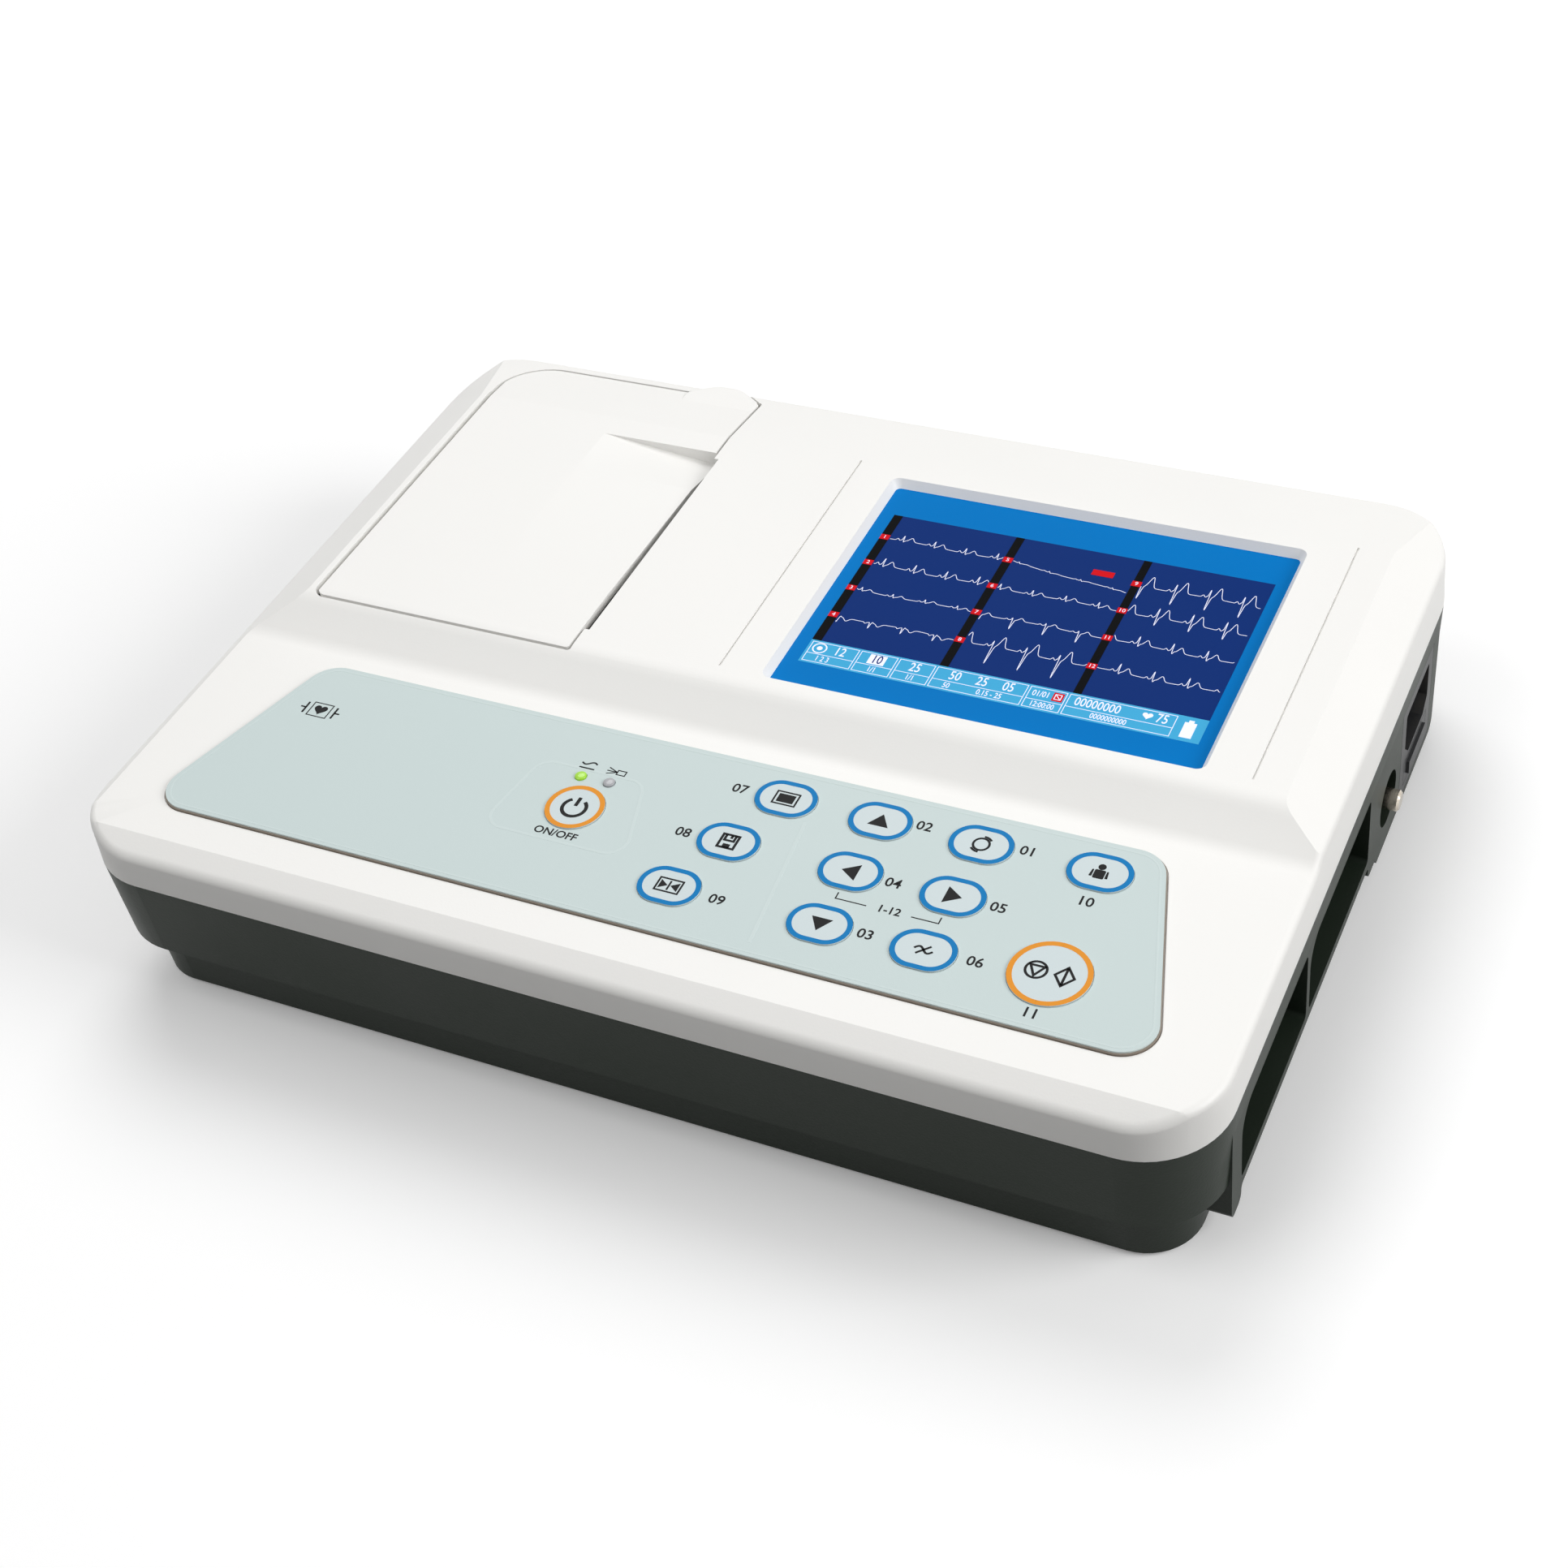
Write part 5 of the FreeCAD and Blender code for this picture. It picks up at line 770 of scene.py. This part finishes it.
ink = [
    lettering(words, x, y, size, SHEET_TOP, CAPTION_WEIGHT)
    for size, captions in CAPTIONS.items()
    for words, x, y in captions
]
ink += [stroke(path, LINE, SHEET_TOP) for path in ARROW_BRACKETS]
ink += mains_sign(*middle_of("led_mains"))
ink += plug_sign(*middle_of("led_battery"))
ink += heart_sign(*HEART_SIGN)
piece("keypad_ink", ink, BLACK_INK)


# Screen: a field with twelve traces over a status bar, in layers of print

ON_GLASS, ON_FIELD, ON_STRIP, ON_TAG = (top_of("display_window") + INK * layer for layer in range(4))
FIELD_X, FIELD_Y = (6.6, 117.7), (12.0, 69.5)
BAR_Y = (2.7, 12.0)
STRIPS = [(6.6, 9.3), (43.7, 46.2), (81.0, 83.3)]
ROWS = [59.2, 47.3, 35.5, 23.4]

piece("screen_field", [plate(rectangle(*FIELD_X, *FIELD_Y), ON_GLASS)], NAVY)
piece("screen_bar", [plate(rectangle(*FIELD_X, *BAR_Y), ON_GLASS)], BAR)
strips = [plate(rectangle(left, right, *FIELD_Y), ON_FIELD) for left, right in STRIPS]
piece("screen_dividers", strips, SCREEN_BLACK)

# The heights of a beat's five waves, for the four traces to the right of each strip
BEATS = [
    [
        (0.7, 0.2, 2.2, -0.5, 1.6),
        (0.9, 0.3, 3.0, -0.6, 2.0),
        (0.4, 0.2, 1.2, -0.3, 0.9),
        (-0.5, 0.1, -2.4, 0.3, -1.2),
    ],
    [
        (0.2, 0.0, 0.4, -0.2, 0.2),
        (0.6, 0.2, 1.9, -0.5, 1.3),
        (0.4, 0.1, 1.0, -3.8, 1.2),
        (0.8, 0.6, 2.6, -7.2, 4.4),
    ],
    [
        (0.8, 0.6, 3.4, -5.4, 4.6),
        (0.8, 0.5, 4.2, -3.2, 3.8),
        (0.7, 0.3, 3.2, -0.9, 2.1),
        (0.7, 0.3, 3.4, -0.7, 2.0),
    ],
]
# Where each wave stands in a beat and how wide it is, as shares of the beat
WAVES = [(-0.16, 0.03), (-0.045, 0.012), (0.0, 0.014), (0.05, 0.018), (0.26, 0.065)]
BEAT_LENGTH, BEAT_LEAD = 9.4, 0.4
SWAY_HEIGHT, SWAY_RATE, SWAY_SHIFT = 0.25, 0.21, 9.0
ROW_OFFSET, STRIP_OFFSET = 0.13, 0.21
DRIFTS = {(1, 0): -4.2}  # one trace drifts down on its way
TRACE_DROP, TRACE_WIDTH = 0.4, 0.18
LEFT_GAP, RIGHT_GAP, EDGE_GAP = 0.4, 0.3, 0.9
TAG_HALF = (1.35, 1.1)
TAG_NUMBER = 2.0
DRIFT_FLAG = rectangle(69.0, 75.2, 59.6, 62.0)


def heartbeat(length, sizes, offset, steps=420):
    """A trace: five bell curves in every beat, for the waves from P to T, over a slow sway."""
    run = np.linspace(0.0, length, steps)
    phase = (run / BEAT_LENGTH + offset) % 1.0 - BEAT_LEAD
    height = SWAY_HEIGHT * np.sin(run * SWAY_RATE + offset * SWAY_SHIFT)
    for size, (centre, spread) in zip(sizes, WAVES):
        height = height + size * np.exp(-0.5 * ((phase - centre) / spread) ** 2)
    return run, height


starts = [right + LEFT_GAP for left, right in STRIPS]
stops = [left - RIGHT_GAP for left, right in STRIPS[1:]] + [FIELD_X[1] - EDGE_GAP]
traces, tags, marks = [], [], []
for column, (start, stop) in enumerate(zip(starts, stops)):
    tag_x = sum(STRIPS[column]) / 2
    for row, level in enumerate(ROWS):
        offset = ROW_OFFSET * row + STRIP_OFFSET * column
        run, height = heartbeat(stop - start, BEATS[column][row], offset)
        drift = DRIFTS.get((column, row), 0.0) * run / (stop - start)
        path = np.column_stack([start + run, level - TRACE_DROP + height + drift])
        traces.append(stroke(path, TRACE_WIDTH, ON_STRIP))
        tags.append(plate(around(tag_x, level, *TAG_HALF), ON_STRIP))
        marks.append(lettering(str(column * len(ROWS) + row + 1), tag_x, level, TAG_NUMBER, ON_TAG))
piece("screen_traces", traces, TRACE)
tags.append(plate(DRIFT_FLAG, ON_STRIP))
piece("screen_tags", tags, TAG)

# Status bar: cells with two rows of numbers, and small signs
CELLS = [(7.4, 21.0), (21.8, 32.2), (33.0, 43.0), (43.8, 69.2), (70.0, 80.0), (80.8, 109.6)]
CELL_MARGIN, CELL_SPLIT, CELL_LINE = 0.7, 6.6, 0.2
UPPER, LOWER = 9.0, 4.9
LARGE, LONG, DATE, SMALL = 4.8, 4.56, 3.12, 2.88
BAR_WEIGHT, BAR_NARROW = 0.03, 0.68
BAR_NUMBERS = [
    ("12", 16.2, UPPER, LARGE), ("1 2 3", 12.6, LOWER, SMALL), ("1/1", 27.0, LOWER, SMALL),
    ("25", 38.0, UPPER, LARGE), ("1/1", 38.0, LOWER, SMALL), ("50", 49.4, UPPER, LARGE),
    ("25", 57.0, UPPER, LARGE), ("05", 64.4, UPPER, LARGE), ("50", 48.4, LOWER, SMALL),
    ("0.15 - 25", 60.4, LOWER, SMALL), ("01/01", 73.4, UPPER, DATE), ("12:00:00", 75.0, LOWER, SMALL),
    ("00000000", 88.8, UPPER, LONG), ("75", 106.2, UPPER, LARGE), ("0000000000", 93.0, LOWER, SMALL),
]
for left, right in CELLS:
    cell = rectangle(left, right, BAR_Y[0] + CELL_MARGIN, BAR_Y[1] - CELL_MARGIN)
    marks.append(stroke(cell, CELL_LINE, ON_FIELD, closed=True))
    marks.append(stroke([(left, CELL_SPLIT), (right, CELL_SPLIT)], CELL_LINE, ON_FIELD))
marks += [lettering(words, x, y, size, ON_FIELD, BAR_WEIGHT, BAR_NARROW) for words, x, y, size in BAR_NUMBERS]
battery, battery_cap = rectangle(112.0, 115.2, 4.0, 9.8), rectangle(112.9, 114.3, 9.8, 10.7)
marks += [plate(outline, ON_FIELD) for outline in (heart(102.2, 9.2, 1.4), battery, battery_cap)]
marks.append(stroke(circle(10.2, UPPER, 1.9, 30), 0.4, ON_FIELD, closed=True))
marks.append(plate(circle(10.2, UPPER, 0.8, 24), ON_FIELD))
piece("screen_marks", marks, TRACE)

RED_SIGN, SIGN_BOX = rectangle(76.6, 79.5, 7.4, 10.7), rectangle(77.2, 78.9, 8.1, 10.0)
SIGN_LINE = 0.25
sign_lines = [
    stroke(SIGN_BOX, SIGN_LINE, ON_STRIP, closed=True),
    stroke(SIGN_BOX[[3, 1]], SIGN_LINE, ON_STRIP),
]
piece("screen_red_sign", [plate(RED_SIGN, ON_FIELD)], TAG)
piece("screen_sign_lines", sign_lines, TRACE)

GAIN_X, GAIN_SIZE = 27.0, 4.6
GAIN_FIELD = around(GAIN_X, UPPER, 2.4, 1.9)
gain_number = lettering("10", GAIN_X, UPPER, GAIN_SIZE, ON_STRIP, BAR_WEIGHT, BAR_NARROW)
piece("screen_gain_field", [plate(GAIN_FIELD, ON_FIELD)], TRACE)
piece("screen_gain_number", [gain_number], NAVY)


# Camera: its place, its three axes and its focal length in pixels of the whole image

CAMERA_AT = Vector((263.59, -448.60, 493.60)) * MM
RIGHT = Vector((0.902744, 0.415286, -0.112210))
UPWARD = Vector((-0.208712, 0.650913, 0.729898))
BACKWARD = Vector((0.376156, -0.635491, 0.674283))
IMAGE = 1932
FOCAL_PIXELS = 3101.26
SENSOR = 36.0

camera_data = bpy.data.cameras.new("camera")
camera_data.sensor_width = SENSOR
camera_data.lens = FOCAL_PIXELS / IMAGE * SENSOR
camera_data.clip_start = 0.01
camera = bpy.data.objects.new("camera", camera_data)
axes = Matrix((RIGHT, UPWARD, BACKWARD)).transposed()
camera.matrix_world = Matrix.Translation(CAMERA_AT) @ axes.to_4x4()
bpy.context.scene.collection.objects.link(camera)
bpy.context.scene.camera = camera


# Floor and sky: white where they are shown, and dimmer as a source of soft light

FLOOR_HALF = 6.0
FLOOR_SHOWN, FLOOR_FOR_LIGHT = 0.97, 0.12
FLOOR_ROUGHNESS, FLOOR_GLOSS = 0.9, 0.1
FADE_START, FADE_END, NEAR_WHITE = 0.5, 1.6, 0.14
SKY_SHOWN, SKY_LIGHT = 1.0, 0.28


def shown_ray(tree):
    """1 on a ray from the camera, off a mirror or through glass, and 0 on a ray that carries soft light."""
    ray = tree.nodes.new("ShaderNodeLightPath")
    seen = sum_node(tree, "MAXIMUM", (ray, "Is Camera Ray"), (ray, "Is Glossy Ray"))
    return sum_node(tree, "MAXIMUM", (seen, 0), (ray, "Is Transmission Ray"))


def pale_floor():
    """A matt floor that takes the shadow near the object and goes over into white far from it.

    Only the rays that show the floor see its white. To soft light it is grey, so it throws little light
    back up.
    """
    material = bpy.data.materials.new("pale_floor")
    material.use_nodes = True
    tree = material.node_tree
    shader = tree.nodes["Principled BSDF"]
    shown = shown_ray(tree)
    mixed = tree.nodes.new("ShaderNodeMix")
    mixed.data_type = "RGBA"
    mixed.inputs["A"].default_value = grey(FLOOR_FOR_LIGHT)
    mixed.inputs["B"].default_value = grey(FLOOR_SHOWN)
    link(tree, shown, 0, mixed, "Factor")
    link(tree, mixed, "Result", shader, "Base Color")
    place = tree.nodes.new("ShaderNodeTexCoord")
    far = vector_node(tree, "LENGTH", place, "Object")
    fade = tree.nodes.new("ShaderNodeMapRange")
    fade.inputs["From Min"].default_value = FADE_START
    fade.inputs["From Max"].default_value = FADE_END
    fade.inputs["To Min"].default_value = NEAR_WHITE
    link(tree, far, "Value", fade, "Value")
    white = sum_node(tree, "MULTIPLY", (fade, "Result"), (shown, 0))
    link(tree, white, 0, shader, "Emission Color")
    shader.inputs["Emission Strength"].default_value = 1.0
    shader.inputs["Roughness"].default_value = FLOOR_ROUGHNESS
    shader.inputs["Specular IOR Level"].default_value = FLOOR_GLOSS
    return material


def white_sky():
    """A sky that lights the object softly and shows white."""
    world = bpy.data.worlds.new("studio")
    world.use_nodes = True
    tree = world.node_tree
    light = tree.nodes["Background"]
    backdrop = tree.nodes.new("ShaderNodeBackground")
    for node, strength in ((light, SKY_LIGHT), (backdrop, SKY_SHOWN)):
        node.inputs["Color"].default_value = grey(1.0)
        node.inputs["Strength"].default_value = strength
    choose = tree.nodes.new("ShaderNodeMixShader")
    for i, node in enumerate((shown_ray(tree), light, backdrop)):
        link(tree, node, 0, choose, i)
    link(tree, choose, 0, tree.nodes["World Output"], "Surface")
    return world


floor_corners = [(x, y, 0.0) for x, y in around(0, 0, FLOOR_HALF, FLOOR_HALF)]
floor_mesh = bpy.data.meshes.new("floor")
floor_mesh.from_pydata(floor_corners, [], [(0, 1, 2, 3)])
floor_mesh.materials.append(pale_floor())
floor = bpy.data.objects.new("floor", floor_mesh)
bpy.context.scene.collection.objects.link(floor)
bpy.context.scene.world = white_sky()


# Studio light: three round softboxes, with size in metres and power in watts


def softbox(name, place, aim, size, power):
    """A round soft lamp at a place, turned towards an aim."""
    data = bpy.data.lights.new(name, "AREA")
    data.shape = "DISK"
    data.size = size
    data.energy = power
    lamp = bpy.data.objects.new(name, data)
    lamp.location = place
    lamp.rotation_euler = (Vector(aim) - Vector(place)).to_track_quat("-Z", "Y").to_euler()
    bpy.context.scene.collection.objects.link(lamp)


softbox("softbox_back", (-0.5, 0.9, 1.5), (0.0, 0.0, 0.0), 1.2, 11.5)
softbox("softbox_front", (-0.7, -0.7, 1.5), (0.0, 0.0, 0.03), 1.2, 6)
softbox("softbox_right", (1.5, 0.1, 0.9), (0.1, 0.0, 0.03), 1.0, 16.5)

bpy.context.scene.view_settings.view_transform = "Standard"
